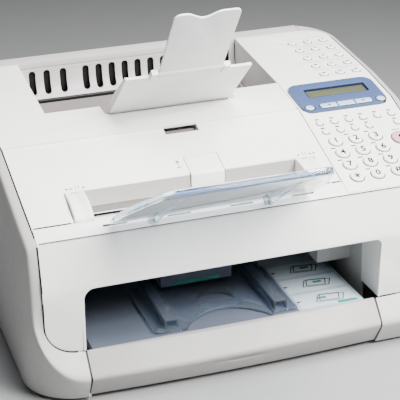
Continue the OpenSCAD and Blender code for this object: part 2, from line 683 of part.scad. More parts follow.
motor_axis = [95.9, 100];
drum = [70, 100, 12];
transfer = [70, 100 - 12 - 7 - 0.3, 7];
fixing = [140, 110, 12];
pressing = [140, 110 - 12 - 10 - 0.3, 10];
pickup = [0, 62.5, 12];
feed_x = -27;           // middle of the pick-up unit
doc_roller = [-32, 161.5, 7];
ROLLERS = [[70, 100, 4], [70, 80.7, 3], [140, 110, 4], [140, 87.7, 4], [0, 62.5, 4]];
engine_l = -146;
engine_r = 112;

module roller(p, shaft_r, x0, x1, s0, s1) {
    shaft(x0, x1, p[0], p[1], p[2]);
    shaft(s0, s1, p[0], p[1], shaft_r);
}
roll_l = engine_l + 12;
roll_r = engine_r - 14;
gear_x = bay_right + 6.5;
module photo_drum() color("seagreen") {
    roller(drum, 3, roll_l, roll_r, engine_l + 5.4, gear_x + 8);
    shaft(gear_x, gear_x + 6, drum[0], drum[1], 20);
}
module transfer_roller() color("black") roller(transfer, 2, roll_l, roll_r, engine_l + 5.4, engine_r - 4);
module fixing_roller() color("dimgray") roller(fixing, 3, roll_l, roll_r, engine_l + 3.4, engine_r - 4);
module pressure_roller() color("indianred") roller(pressing, 3, roll_l, roll_r, engine_l + 3.4,
    engine_r - 4);
module pickup_roller() color("dimgray") roller(pickup, 3, feed_x - 18, feed_x + 18, feed_x - 33,
    feed_x + 33);

// End plates with bearing holes carry the rollers
module toner_cartridge() color("darkslategray") difference() {
    union() {
        span([engine_l, 40, 106], [engine_r - 2, 104, 134]);
        for (x = [engine_l, engine_r - 12]) span([x, 52, 74], [x + 10, 100, 106]);
    }
    shaft(engine_l + 10, engine_r - 12, drum[0], drum[1], drum[2] + 1);
    shaft(engine_l + 5, engine_r + 40, drum[0], drum[1], 3 + run);
    shaft(engine_l + 5, engine_r + 40, transfer[0], transfer[1], 2 + run);
    span([engine_l + 10, 46, 70], [engine_r - 12, 96, 112]);
}

module fuser_frame() color("gray") difference() {
    span([engine_l, 122, 74], [engine_r - 2, 160, 130]);
    span([engine_l + 8, 125, 70], [engine_r - 12, 157, 127]);
    span([engine_l + 8, 110, 92], [engine_r - 12, 180, 104]);
    shaft(engine_l + 3, engine_r + 40, fixing[0], fixing[1], 3 + run);
    shaft(engine_l + 3, engine_r + 40, pressing[0], pressing[1], 3 + run);
}

module laser_unit() color("silver") {
    span([-110, 20, 140], [60, 120, 162]);
    translate([-25, 70, 162]) cylinder(h = 6, r = 18);
}

module drive_motor() color("silver") {
    shaft(bay_right + 20, bay_right + 46, motor_axis[0], motor_axis[1], 21);
    difference() {
        span([bay_right + 17.6, 70, 76], [bay_right + 20, 122, 124]);
        shaft(bay_right + 17, bay_right + 20, motor_axis[0], motor_axis[1], 2.55);
    }
}
module motor_pinion() color("gold") {
    shaft(bay_right + 8.6, bay_right + 15, motor_axis[0], motor_axis[1], 5.6);
    shaft(bay_right + 15, bay_right + 19.7, motor_axis[0], motor_axis[1], 2.5);
}

// Hanging pick-up unit with its coloured label strip
module feed_block() color("darkslategray") difference() {
    span([feed_x - 35.5, -26, 59], [feed_x + 35.5, 24, 112]);
    shaft(feed_x - 21, feed_x + 21, pickup[0], pickup[1], pickup[2] + 1.5);
    shaft(feed_x - 40, feed_x + 40, pickup[0], pickup[1], 3 + run);
    span([feed_x - 21, -14, 50], [feed_x + 21, 14, 64]);
}

module power_supply() color("silver") {
    span([-182.4, 20, 20], [-166, 145, 130]);
}
module main_board() color("seagreen") {
    span([176, -70, 30], [177.6, 60, 140]);
    span([172, -20, 60], [176, 20, 100]);
    span([172, 30, 60], [176, 50, 80]);
    for (z = [112, 124]) span([170, -50, z], [176, 30, z + 6]);
}
module rear_connectors() color("dimgray") {
    difference() {
        span([-151.6, rear_y - 18, 30.4], [-120.4, rear_y - 0.5, 55.6]);
        span([-147, rear_y - 14, 35], [-125, rear_y, 51]);
    }
    for (x = [119, 135]) difference() {
        span([x, rear_y - 18, 50.6], [x + 14, rear_y - 0.5, 65.4]);
        span([x + 2, rear_y - 14, 53], [x + 12, rear_y, 62]);
    }
}

base_frame();
side_cover_left();
side_cover_right();
front_cover();
rear_cover();
top_cover();
output_bin();
operation_panel();
lcd_bezel();
lcd_window();
main_board();
power_supply();
rear_connectors();
rubber_feet();
cover_screws();
laser_unit();
drive_motor();
toner_cartridge();
fuser_frame();
image_sensor();
feeder_base();
feed_block();
hinge_pins();
instruction_label();
motor_pinion();
photo_drum();
transfer_roller();
fixing_roller();
pressure_roller();
pickup_roller();
document_roller();
adf_cover();
latch_button();
document_guide_left();
document_guide_right();
document_tray();
support_tray();
tray_extension();
cassette();
cassette_front();
cassette_lid();
paper_guide_left();
paper_guide_right();
cursor_keys();
function_keys();
one_touch_keys();
start_key();
stop_key();
for (i = [0 : 11]) number_key(i);
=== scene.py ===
"""Looks of a desktop laser fax machine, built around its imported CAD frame.

Lengths are millimetres in the machine's own frame (X right, Y back, Z up, origin on the
table) and become metres when a mesh is made. Only the lamps are placed in metres.
"""
import json
import math

import bmesh
import bpy
from mathutils import Matrix, Vector


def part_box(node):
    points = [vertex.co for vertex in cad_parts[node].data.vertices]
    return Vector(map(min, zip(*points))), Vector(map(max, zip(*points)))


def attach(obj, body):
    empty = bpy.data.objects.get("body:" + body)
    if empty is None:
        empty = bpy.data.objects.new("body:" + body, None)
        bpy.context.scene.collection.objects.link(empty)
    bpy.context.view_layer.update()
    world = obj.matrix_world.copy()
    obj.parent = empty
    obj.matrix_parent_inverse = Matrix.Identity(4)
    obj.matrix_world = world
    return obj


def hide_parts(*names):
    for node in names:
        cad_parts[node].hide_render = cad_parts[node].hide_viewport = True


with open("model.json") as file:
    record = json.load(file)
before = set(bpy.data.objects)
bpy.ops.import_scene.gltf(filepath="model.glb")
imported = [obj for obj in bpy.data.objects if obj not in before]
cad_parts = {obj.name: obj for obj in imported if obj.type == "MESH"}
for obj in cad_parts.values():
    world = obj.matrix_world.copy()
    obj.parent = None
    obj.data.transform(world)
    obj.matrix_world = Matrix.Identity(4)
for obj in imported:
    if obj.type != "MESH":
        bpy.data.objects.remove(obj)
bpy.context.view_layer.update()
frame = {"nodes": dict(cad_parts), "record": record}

MM = 0.001


# ---------- Sizes shared with the CAD frame ----------

def node_box(node):
    """Lowest and highest corner of a CAD node in millimetres."""
    low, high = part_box(node)
    return low / MM, high / MM


BODY_HALF = node_box("side_cover_right")[1].x
REAR_Y = node_box("rear_cover")[1].y
BODY_H = node_box("rear_cover")[1].z
FOOT_H = node_box("base_frame")[0].z
SEAM_X = node_box("front_cover")[1].x + 0.3
PANEL_X = node_box("operation_panel")[0].x - 0.3
BAY_LEFT = node_box("cassette_front")[0].x + 0.6
BAY_RIGHT = node_box("cassette_front")[1].x + 2.4
BAY_TOP = 113
CREASE_X = 201.5
WRAP_X = 172
SEAM = 0.6
WALL = 2.5

# side view of the top, front to back, as (y, z)
STEP = (-102, 160)
STRIP_TOP = (-85, 166.5)
FEEDER_REAR = (18, 203)
RECESS_FRONT = (74, 212.5)
RECESS_REAR = (198, BODY_H - 2.5)
TOP = [STEP, STRIP_TOP, FEEDER_REAR, RECESS_FRONT, RECESS_REAR, (REAR_Y - 3, BODY_H)]
LINTEL = (-109, BAY_TOP)
FRONT_FOOT = (-102, 50)
RIDGE = (-120, 30)
LOW_WIDE = (-112.5, 17)
BASE_FRONT = (-104, FOOT_H)

# where the sides start to turn round to the rear, and the widest line up to there
TURN_Y = 176
WIDE_LINE = [(-76, 140), (16, 178), (72, 188), (TURN_Y, 196)]

# arc of the front's lower corners, and where the left one's lower edges start to turn up
CORNER_R = 30
CORNER_X = 162
CORNER_Z = 81
LOW_X = -157


def lerp(a, b, t):
    return a + (b - a) * t


def polyline(points, x):
    """Height of a polyline at x, held at its ends."""
    if x <= points[0][0]:
        return points[0][1]
    for (x0, y0), (x1, y1) in zip(points, points[1:]):
        if x <= x1:
            return lerp(y0, y1, (x - x0) / (x1 - x0))
    return points[-1][1]


def top_z(y):
    return polyline(TOP, y)


def flare(y):
    """How much wider than at the front the top band is on each side."""
    return polyline([(-102, 0), (-68, 1.2), (5, 2.8), (60, 4), (140, 5)], y)


def widened(p):
    """Moves the outer edge of a top plate out to the flared seam."""
    if abs(p.x) > 190.8 * MM or (p.y > 174 * MM and abs(p.x) > 165 * MM):
        share = min(1, (abs(p.x) / MM - 165) / 26)
        p.x += math.copysign(flare(p.y / MM) * share * MM, p.x)


# ---------- Outlines ----------

def arc(cx, cy, r, a0, a1, n=8):
    """Points on an arc, angles in degrees."""
    angles = [math.radians(lerp(a0, a1, i / n)) for i in range(n + 1)]
    return [(cx + r * math.cos(a), cy + r * math.sin(a)) for a in angles]


def round_rect(w, d, r, cx=0, cy=0, n=6):
    x, y = w / 2 - r, d / 2 - r
    return (arc(cx + x, cy + y, r, 0, 90, n) + arc(cx - x, cy + y, r, 90, 180, n)
            + arc(cx - x, cy - y, r, 180, 270, n) + arc(cx + x, cy - y, r, 270, 360, n))


def filleted(corners, n=6):
    """A closed outline of (x, y, radius) corners, with each corner rounded to its radius."""
    out = []
    count = len(corners)
    for i, (x, y, r) in enumerate(corners):
        here = Vector((x, y))
        before = Vector(corners[i - 1][:2]) - here
        after = Vector(corners[(i + 1) % count][:2]) - here
        if r <= 0:
            out.append((x, y))
            continue
        angle = before.angle(after)
        reach = min(r / math.tan(angle / 2), before.length * 0.49, after.length * 0.49)
        start = here + before.normalized() * reach
        end = here + after.normalized() * reach
        for k in range(n + 1):
            t = k / n
            p = start * (1 - t) ** 2 + here * 2 * t * (1 - t) + end * t * t
            out.append((p.x, p.y))
    return out


class Plane:
    """A working plane: a and b run along it, and c stands up from it."""

    def __init__(self, origin, along, up):
        self.origin = Vector(origin)
        self.along = Vector(along).normalized()
        self.up = Vector(up).normalized()
        self.out = self.along.cross(self.up)

    def at(self, a, b, c=0.0):
        return (self.origin + self.along * a + self.up * b + self.out * c) * MM

    def round(self, centre, r, turn, c):
        """A point at a radius and a turn in radians round a centre on the plane."""
        return self.at(centre[0] + r * math.cos(turn), centre[1] + r * math.sin(turn), c)


def slope(p, q, x=0.0, lift=0.0):
    """The plane through two (y, z) points; a is X, b runs up the slope, c is its normal."""
    up = Vector((0, q[0] - p[0], q[1] - p[1]))
    plane = Plane((x, p[0], p[1]), (1, 0, 0), up)
    plane.origin += plane.out * lift
    return plane


FLOOR = Plane((0, 0, 0), (1, 0, 0), (0, 1, 0))
FRONT = Plane((0, 0, 0), (1, 0, 0), (0, 0, 1))
SIDE = Plane((0, 0, 0), (0, 1, 0), (0, 0, 1))
FEEDER = slope(STRIP_TOP, FEEDER_REAR)
REAR = slope(RECESS_FRONT, RECESS_REAR)
STRIP = slope(STEP, STRIP_TOP)


# ---------- Meshes ----------

def bridge(bm, rows, closed=True):
    """Faces between neighbouring rows of points."""
    for a, b in zip(rows, rows[1:]):
        count = len(a)
        for i in range(count if closed else count - 1):
            j = (i + 1) % count
            bm.faces.new((a[i], a[j], b[j], b[i]))


def outward(bm):
    bmesh.ops.recalc_face_normals(bm, faces=bm.faces)
    return bm


def prism(outline, plane, low, high):
    """A solid with an outline in the plane, from low to high along the normal."""
    bm = bmesh.new()
    lower = [bm.verts.new(plane.at(a, b, low)) for a, b in outline]
    upper = [bm.verts.new(plane.at(a, b, high)) for a, b in outline]
    bm.faces.new(lower[::-1])
    bm.faces.new(upper)
    bridge(bm, [lower, upper])
    return outward(bm)


def plate(a0, b0, a1, b1, plane, low, high):
    """A rectangular solid between two corners in the plane."""
    return prism([(a0, b0), (a1, b0), (a1, b1), (a0, b1)], plane, low, high)


def block(low, high):
    return plate(low[0], low[1], high[0], high[1], FLOOR, low[2], high[2])


def loft(rings, closed=True):
    """Skins a list of rings of points, all with the same count."""
    bm = bmesh.new()
    rows = [[bm.verts.new(Vector(p) * MM) for p in points] for points in rings]
    bridge(bm, rows, closed)
    if closed:
        bm.faces.new(rows[0][::-1])
        bm.faces.new(rows[-1])
    return outward(bm)


def lathe(profile, plane, centre, segments=40):
    """Turns (radius, height) points about the plane's normal at a centre on it."""
    bm = bmesh.new()
    rings = []
    turns = [2 * math.pi * i / segments for i in range(segments)]
    for r, h in profile:
        around = turns if r > 0 else [0]
        rings.append([bm.verts.new(plane.round(centre, r, t, h)) for t in around])
    for a, b in zip(rings, rings[1:]):
        for i in range(segments):
            j = (i + 1) % segments
            if len(a) == 1:
                bm.faces.new((a[0], b[j], b[i]))
            elif len(b) == 1:
                bm.faces.new((a[i], a[j], b[0]))
            else:
                bm.faces.new((a[i], a[j], b[j], b[i]))
    if len(rings[0]) > 1:
        bm.faces.new(rings[0][::-1])
    if len(rings[-1]) > 1:
        bm.faces.new(rings[-1])
    return outward(bm)


def ball(segments, move):
    """A sphere of radius 1, whose points a function then moves."""
    bm = bmesh.new()
    bmesh.ops.create_uvsphere(bm, u_segments=segments, v_segments=segments // 2, radius=1.0)
    for v in bm.verts:
        v.co = move(v.co)
    return bm


def opened(mesh):
    """An editable copy of a mesh."""
    bm = bmesh.new()
    bm.from_mesh(mesh)
    return bm


def joined(*parts):
    """One bmesh with the faces of several."""
    whole = parts[0]
    for part in parts[1:]:
        mesh = bpy.data.meshes.new("part")
        part.to_mesh(mesh)
        part.free()
        whole.from_mesh(mesh)
        bpy.data.meshes.remove(mesh)
    return whole


def as_object(name, bm):
    mesh = bpy.data.meshes.new(name)
    bm.to_mesh(mesh)
    bm.free()
    obj = bpy.data.objects.new(name, mesh)
    bpy.context.scene.collection.objects.link(obj)
    return obj


def bake(obj):
    """Applies all of an object's modifiers."""
    graph = bpy.context.evaluated_depsgraph_get()
    mesh = bpy.data.meshes.new_from_object(obj.evaluated_get(graph))
    obj.modifiers.clear()
    obj.data = mesh


def boolean(obj, cutter, operation="DIFFERENCE"):
    tool = as_object("cutter", cutter)
    step = obj.modifiers.new("boolean", "BOOLEAN")
    step.object = tool
    step.operation = operation
    step.solver = "EXACT"
    bake(obj)
    bpy.data.objects.remove(tool)


def clean(bm):
    """Merges corners that meet and faces that lie in one plane."""
    bmesh.ops.remove_doubles(bm, verts=bm.verts, dist=0.002 * MM)
    bmesh.ops.dissolve_limit(bm, angle_limit=math.radians(0.6), verts=bm.verts, edges=bm.edges)


def sharp_edges(bm, angle):
    least = math.radians(angle)
    return [e for e in bm.edges if len(e.link_faces) == 2 and e.calc_face_angle(0.0) > least]


def bevel_edges(bm, edges, width, segments):
    if edges:
        bmesh.ops.bevel(bm, geom=edges, offset=width * MM, offset_type="OFFSET", segments=segments,
                        profile=0.5, affect="EDGES", clamp_overlap=True)


def round_edges(obj, width, angle=30, segments=3, wide=()):
    """Rounds the sharp edges of a mesh; wide holds (test, width) pairs for edges that get
    a radius of their own, where test takes the place of a corner in millimetres."""
    bm = opened(obj.data)
    clean(bm)
    for test, own in wide:
        chosen = [e for e in sharp_edges(bm, angle) if all(test(v.co / MM) for v in e.verts)]
        bevel_edges(bm, chosen, own, 6)
    bevel_edges(bm, sharp_edges(bm, angle), width, segments)
    bm.to_mesh(obj.data)
    bm.free()


def place(obj, body, material, replaces=(), angle=32):
    """Finishes a piece: smooth shading, its material, its body and the nodes it stands for.
    A piece given None keeps the materials that it has."""
    mesh = obj.data
    mesh.polygons.foreach_set("use_smooth", [True] * len(mesh.polygons))
    mesh.set_sharp_from_angle(angle=math.radians(angle))
    mesh.update()
    if material:
        mesh.materials.clear()
        mesh.materials.append(material)
    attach(obj, body)
    if replaces:
        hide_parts(*replaces)


BODIES = frame["record"]["behaviour"]["bodies"]
BODY_OF = {node: body for body, nodes in BODIES.items() for node in nodes}


def piece(name, bm, body, material, rounding=None, cut=None, replaces=(), angle=32):
    """A finished piece; rounding holds the width, angle and segments of its rounded edges, and
    cut is a solid that is taken out of it first."""
    obj = as_object(name, bm)
    if cut:
        boolean(obj, cut)
    if rounding:
        round_edges(obj, *rounding)
    place(obj, body, material, replaces, angle)


def stand_in(obj, node, material, angle=32):
    """Finishes a piece that stands for a CAD node."""
    place(obj, BODY_OF[node], material, [node], angle)


def skin(node, bm, material, rounding=None, cut=None, angle=32):
    """A new piece that stands for a CAD node."""
    piece(node + "_skin", bm, BODY_OF[node], material, rounding, cut, [node], angle)


def softened(node, material, width, wide=(), shape=None):
    """A copy of a CAD node with rounded moulding edges, which stands for the node."""
    bm = opened(frame["nodes"][node].data)
    if shape:
        for v in bm.verts:
            shape(v.co)
    obj = as_object(node + "_skin", bm)
    round_edges(obj, width, wide=wide)
    stand_in(obj, node, material)


# ---------- Materials ----------

def shader(name):
    material = bpy.data.materials.new(name)
    material.use_nodes = True
    tree = material.node_tree
    return material, tree, tree.nodes["Principled BSDF"]


def noise_node(tree, size_mm, detail):
    """Noise with features of about the given size."""
    where = tree.nodes.new("ShaderNodeTexCoord")
    noise = tree.nodes.new("ShaderNodeTexNoise")
    noise.inputs["Scale"].default_value = 1 / (size_mm * MM)
    noise.inputs["Detail"].default_value = detail
    noise.inputs["Roughness"].default_value = 0.55
    tree.links.new(where.outputs["Object"], noise.inputs["Vector"])
    return noise


def uneven_gloss(tree, bsdf, noise, low, high):
    """Roughness that wanders between two values."""
    reach = tree.nodes.new("ShaderNodeMapRange")
    reach.inputs["From Min"].default_value = 0.3
    reach.inputs["From Max"].default_value = 0.7
    reach.inputs["To Min"].default_value = low
    reach.inputs["To Max"].default_value = high
    tree.links.new(noise.outputs["Fac"], reach.inputs["Value"])
    tree.links.new(reach.outputs["Result"], bsdf.inputs["Roughness"])


def tinted(tree, bsdf, noise, colour, vary):
    """Base colour that wanders a little to both sides of a tint."""
    ramp = tree.nodes.new("ShaderNodeValToRGB")
    for stop, position, share in zip(ramp.color_ramp.elements, (0.3, 0.7), (1 - vary, 1 + vary)):
        stop.position = position
        stop.color = [min(1, c * share) for c in colour] + [1]
    tree.links.new(noise.outputs["Fac"], ramp.inputs["Fac"])
    tree.links.new(ramp.outputs["Color"], bsdf.inputs["Base Color"])


def bumped(tree, bsdf, noise, depth_mm, strength=0.5):
    """Relief from a noise."""
    bump = tree.nodes.new("ShaderNodeBump")
    bump.inputs["Distance"].default_value = depth_mm * MM
    bump.inputs["Strength"].default_value = strength
    tree.links.new(noise.outputs["Fac"], bump.inputs["Height"])
    tree.links.new(bump.outputs["Normal"], bsdf.inputs["Normal"])


def moulded(name, colour, rough=0.42, grain=0.5, depth=0.02, vary=0.02, coat=0.0):
    """Moulded plastic: spark-eroded grain, faint flow clouds and uneven gloss."""
    material, tree, bsdf = shader(name)
    tinted(tree, bsdf, noise_node(tree, 60, 4), colour, vary)
    uneven_gloss(tree, bsdf, noise_node(tree, 9, 3), rough - 0.05, rough + 0.06)
    bumped(tree, bsdf, noise_node(tree, grain, 2), depth)
    bsdf.inputs["Specular IOR Level"].default_value = 0.25
    bsdf.inputs["Coat Weight"].default_value = coat * 0.5
    bsdf.inputs["Coat Roughness"].default_value = 0.15
    return material


def clear_plastic(name, colour, rough, transmission, depth=0.01):
    """Tinted translucent plastic with a faint frosted grain."""
    material, tree, bsdf = shader(name)
    tinted(tree, bsdf, noise_node(tree, 40, 3), colour, 0.03)
    uneven_gloss(tree, bsdf, noise_node(tree, 4, 2), rough - 0.04, rough + 0.05)
    bumped(tree, bsdf, noise_node(tree, 0.8, 2), depth, 0.3)
    bsdf.inputs["Transmission Weight"].default_value = transmission
    bsdf.inputs["IOR"].default_value = 1.2
    return material


def metal(name, colour, rough, streak):
    """Bare metal with machining streaks of a given size."""
    material, tree, bsdf = shader(name)
    bsdf.inputs["Metallic"].default_value = 1.0
    tinted(tree, bsdf, noise_node(tree, 14, 4), colour, 0.05)
    streaks = noise_node(tree, streak, 4)
    uneven_gloss(tree, bsdf, streaks, rough - 0.08, rough + 0.1)
    bumped(tree, bsdf, streaks, 0.01, 0.3)
    return material


def lcd_glass(name):
    """Olive reflective display with a fine cell matrix under a glossy coat."""
    material, tree, bsdf = shader(name)
    where = tree.nodes.new("ShaderNodeTexCoord")
    cells = tree.nodes.new("ShaderNodeTexBrick")
    cells.offset = 0
    for key, value in (("Scale", 1 / (0.9 * MM)), ("Mortar Size", 0.06), ("Brick Width", 0.62),
                       ("Row Height", 0.7), ("Color1", (0.085, 0.094, 0.052, 1)),
                       ("Color2", (0.09, 0.10, 0.056, 1)), ("Mortar", (0.07, 0.077, 0.043, 1))):
        cells.inputs[key].default_value = value
    tree.links.new(where.outputs["Object"], cells.inputs["Vector"])
    tree.links.new(cells.outputs["Color"], bsdf.inputs["Base Color"])
    uneven_gloss(tree, bsdf, noise_node(tree, 12, 2), 0.2, 0.3)
    bsdf.inputs["Coat Weight"].default_value = 1.0
    bsdf.inputs["Coat Roughness"].default_value = 0.03
    return material


WHITE = moulded("shell_white", (0.80, 0.795, 0.775))
# a darker copy of the shell white for the side and rear covers, as painted shade
SHADED_SHELL_WHITE = moulded("shell_white_painted_shade", (0.40, 0.393, 0.382))
# grey of the cassette front, darkened further as painted shade for its lower facet
CASSETTE_GREY_AND_SHADE = moulded("cassette_front_grey_and_shade", (0.33, 0.317, 0.305))
MOUTH_GREY = moulded("feeder_mouth_grey", (0.36, 0.35, 0.33))
# dark grey of painted shade in the feeder mouth and the finger pocket
MOUTH_SHADE = moulded("feeder_mouth_painted_shade", (0.17, 0.155, 0.145))
NAVY = moulded("display_surround", (0.006, 0.010, 0.028), rough=0.25, depth=0.004)
BIN_GREY = moulded("output_bin_grey", (0.42, 0.40, 0.40))
# bin floor darkened as painted shade
BIN_FLOOR_SHADE = moulded("bin_floor_painted_shade", (0.16, 0.145, 0.14), rough=0.5)
FRAME_GREY = moulded("frame_grey", (0.42, 0.415, 0.40))
TRAY_WHITE = moulded("tray_white", (0.72, 0.72, 0.705), rough=0.38)
BLUE = moulded("bezel_blue", (0.052, 0.078, 0.17), rough=0.34, grain=0.4, depth=0.008, coat=0.25)
SLATE = moulded("cassette_slate", (0.088, 0.102, 0.135), rough=0.34, grain=5, depth=0.01)
# black for black plastic parts and for fillers of painted shade in seams, gaps and slots
BLACK_PLASTIC_AND_SHADE = moulded("black_plastic", (0.003, 0.003, 0.003), rough=0.5)
# black for the painted shade in the gaps round the keys
KEY_GAP_SHADE = moulded("key_gap_painted_shade", (0.008, 0.008, 0.009), rough=0.6)
KEY_WHITE = moulded("key_white", (0.82, 0.82, 0.80), rough=0.34, depth=0.006, coat=0.2)
KEY_CYAN = moulded("key_cyan", (0.36, 0.48, 0.56), rough=0.32, depth=0.006, coat=0.3)
KEY_PINK = moulded("key_pink", (0.50, 0.30, 0.33), rough=0.34, depth=0.006, coat=0.2)
KEY_GREEN = moulded("key_green", (0.16, 0.36, 0.20), rough=0.34, depth=0.006, coat=0.2)
INK = moulded("print_ink", (0.006, 0.006, 0.007), rough=0.5, depth=0.004)
# pale grey for printed marks and for lines of painted shade
PALE_INK_AND_SHADE = moulded("pale_print_and_painted_shade", (0.055, 0.055, 0.055), rough=0.5, depth=0.004)
TEAL = moulded("teal_label", (0.02, 0.22, 0.17), rough=0.35, depth=0.004)
PAPER = moulded("label_paper", (0.34, 0.42, 0.48), rough=0.35, grain=0.25, depth=0.006)
PAPER_WHITE = moulded("label_panel", (0.50, 0.58, 0.64), rough=0.35, grain=0.25, depth=0.006)
RUBBER = moulded("rubber", (0.025, 0.025, 0.026), rough=0.75, grain=0.7, depth=0.05, vary=0.08)
RUBBER_RED = moulded("silicone_red", (0.30, 0.065, 0.045), rough=0.5, vary=0.06)
ROLLER_GREY = moulded("roller_sleeve", (0.10, 0.10, 0.105), rough=0.25, depth=0.004, vary=0.06)
DRUM_GREEN = moulded("drum_coating", (0.03, 0.22, 0.17), rough=0.15, depth=0.003, coat=0.8)
BOARD = moulded("circuit_board", (0.02, 0.14, 0.06), rough=0.4, vary=0.15)
STEEL = metal("steel", (0.58, 0.58, 0.57), 0.32, 0.4)
BRASS = metal("brass", (0.62, 0.44, 0.17), 0.25, 1.5)
LCD = lcd_glass("lcd_display")
CLEAR_BLUE = clear_plastic("clear_blue", (0.80, 0.90, 0.985), 0.07, 0.95, 0.004)
LIP_BLUE = clear_plastic("clear_blue_lip", (0.20, 0.42, 0.75), 0.2, 0.7)
CLEAR_GREY = clear_plastic("clear_grey", (0.66, 0.76, 0.90), 0.08, 0.94, 0.004)


# ---------- Camera, floor and light ----------

def look(yaw, pitch, roll):
    """Right, up and backward axes of a camera that looks along +Y, turned by yaw to the
    right, tipped down by pitch and rolled, all in degrees."""
    y, p, r = (math.radians(v) for v in (yaw, pitch, roll))
    ahead = Vector((math.sin(y) * math.cos(p), math.cos(y) * math.cos(p), -math.sin(p)))
    right = Vector((math.cos(y), -math.sin(y), 0))
    up = right.cross(ahead)
    turned = right * math.cos(r) + up * math.sin(r)
    up = up * math.cos(r) - right * math.sin(r)
    return turned, up, -ahead


def make_camera():
    data = bpy.data.cameras.new("camera")
    data.lens = 121.2
    data.sensor_width = 36
    data.clip_end = 20
    camera = bpy.data.objects.new("camera", data)
    bpy.context.scene.collection.objects.link(camera)
    position = Vector((-379, -1127, 634)) * MM
    turn = Matrix(look(18.0, 22.98, -1.63)).transposed().to_4x4()
    camera.matrix_world = Matrix.Translation(position) @ turn
    bpy.context.scene.camera = camera


def area_light(name, position, target, size, watts, colour, spread):
    """A square lamp; its position, target and size are in metres."""
    data = bpy.data.lights.new(name, "AREA")
    data.size = size
    data.energy = watts
    data.spread = math.radians(spread)
    data.color = colour
    light = bpy.data.objects.new(name, data)
    bpy.context.scene.collection.objects.link(light)
    light.location = position
    light.rotation_euler = (Vector(target) - Vector(position)).to_track_quat("-Z", "Y").to_euler()


def make_studio():
    """A plain pale floor under soft light from the front."""
    floor = as_object("floor", plate(-4000, -4000, 4000, 4000, FLOOR, -20, 0))
    floor.data.materials.append(moulded("floor_paper", (0.27, 0.273, 0.277), rough=0.8, grain=2, depth=0.02))
    world = bpy.data.worlds.new("studio")
    world.use_nodes = True
    sky = world.node_tree.nodes["Background"].inputs
    sky["Color"].default_value = (0.80, 0.82, 0.86, 1)
    sky["Strength"].default_value = 0.20
    bpy.context.scene.world = world
    centre = (0, -0.1, 0.12)
    area_light("key", (0.65, -1.15, 1.3), centre, 0.8, 36, (1, 0.99, 0.97), 100)
    area_light("top", (0.15, -0.45, 1.5), centre, 0.7, 15, (1, 1, 1), 90)


# ---------- Side covers ----------

def front_face_y(z):
    """Y of the front face of the body at a height."""
    return polyline([point[::-1] for point in (FRONT_FOOT, LINTEL, STEP)], z)


def cover_stations(end_x):
    """Sections of the left side cover from its front end to its rear end. Each has a point on
    the seam, the crease, the widest line and the foot."""
    stations = []
    # along the bottom of the front
    under = [end_x, lerp(end_x, LOW_X, 0.5)] if end_x > -150 else [end_x]
    for x in under:
        stations.append(((x, -102.8, 49.6), (x, *RIDGE), (x, *LOW_WIDE), (x, *BASE_FRONT)))
    # round the lower front corner
    for i in range(13):
        a = math.radians(7.5 * i)
        s, c = math.sin(a), 1 - math.cos(a)
        z = CORNER_Z - CORNER_R + CORNER_R * c
        stations.append(((-CORNER_X - CORNER_R * s, front_face_y(z) - 0.4, z),
                         (LOW_X - 44.5 * s, RIDGE[0] + 14 * c, RIDGE[1] + 62 * c),
                         (LOW_X - 49 * s, LOW_WIDE[0] + 26.5 * c, LOW_WIDE[1] + 73 * c),
                         (-156 - 50 * s, BASE_FRONT[0] + 50 * c, FOOT_H)))
    # up the front
    for t in (0.3, 0.6, 0.88, 0.96):
        z = lerp(CORNER_Z, 159, t)
        stations.append(((-SEAM_X, front_face_y(z) - 0.4, z),
                         (-CREASE_X, lerp(-106, -102.6, t), lerp(92, 156.6, t)),
                         (-BODY_HALF, lerp(-86, -77, t), lerp(90, 138, t)),
                         (-BODY_HALF, lerp(-54, -48, t), FOOT_H)))
    # back along the top
    for y in (-101, -97.5, -92, -85, -78, -50, -20, 8, 18, 28, 50, 66, 74, 82, 110, 145, TURN_Y):
        t = (y - STEP[0]) / (TURN_Y - STEP[0])
        wide_y = lerp(WIDE_LINE[0][0], TURN_Y, t)
        stations.append(((-SEAM_X - flare(y), y, top_z(y)),
                         (-CREASE_X - 0.82 * flare(y), y + 0.6 * (1 - t), top_z(y) - 3),
                         (-BODY_HALF, wide_y, polyline(WIDE_LINE, wide_y)),
                         (-BODY_HALF, lerp(-47, TURN_Y, t), FOOT_H)))
    # round the rear corner
    for i in range(1, 10):
        b = math.radians(10 * i)
        s, c = math.sin(b), math.cos(b)
        seam_y = TURN_Y + 22 * s
        crease_y = TURN_Y + 37 * s
        stations.append(((min(-168 - 29 * c, -WRAP_X), seam_y, top_z(seam_y)),
                         (-WRAP_X - 33.6 * c, crease_y, min(top_z(crease_y), BODY_H) - 3 * c),
                         (-WRAP_X - 34 * c, 182 + 34 * s, lerp(WIDE_LINE[-1][1], BODY_H - 5, 1 - c)),
                         (-WRAP_X - 34 * c, 182 + 34 * s, FOOT_H)))
    return stations


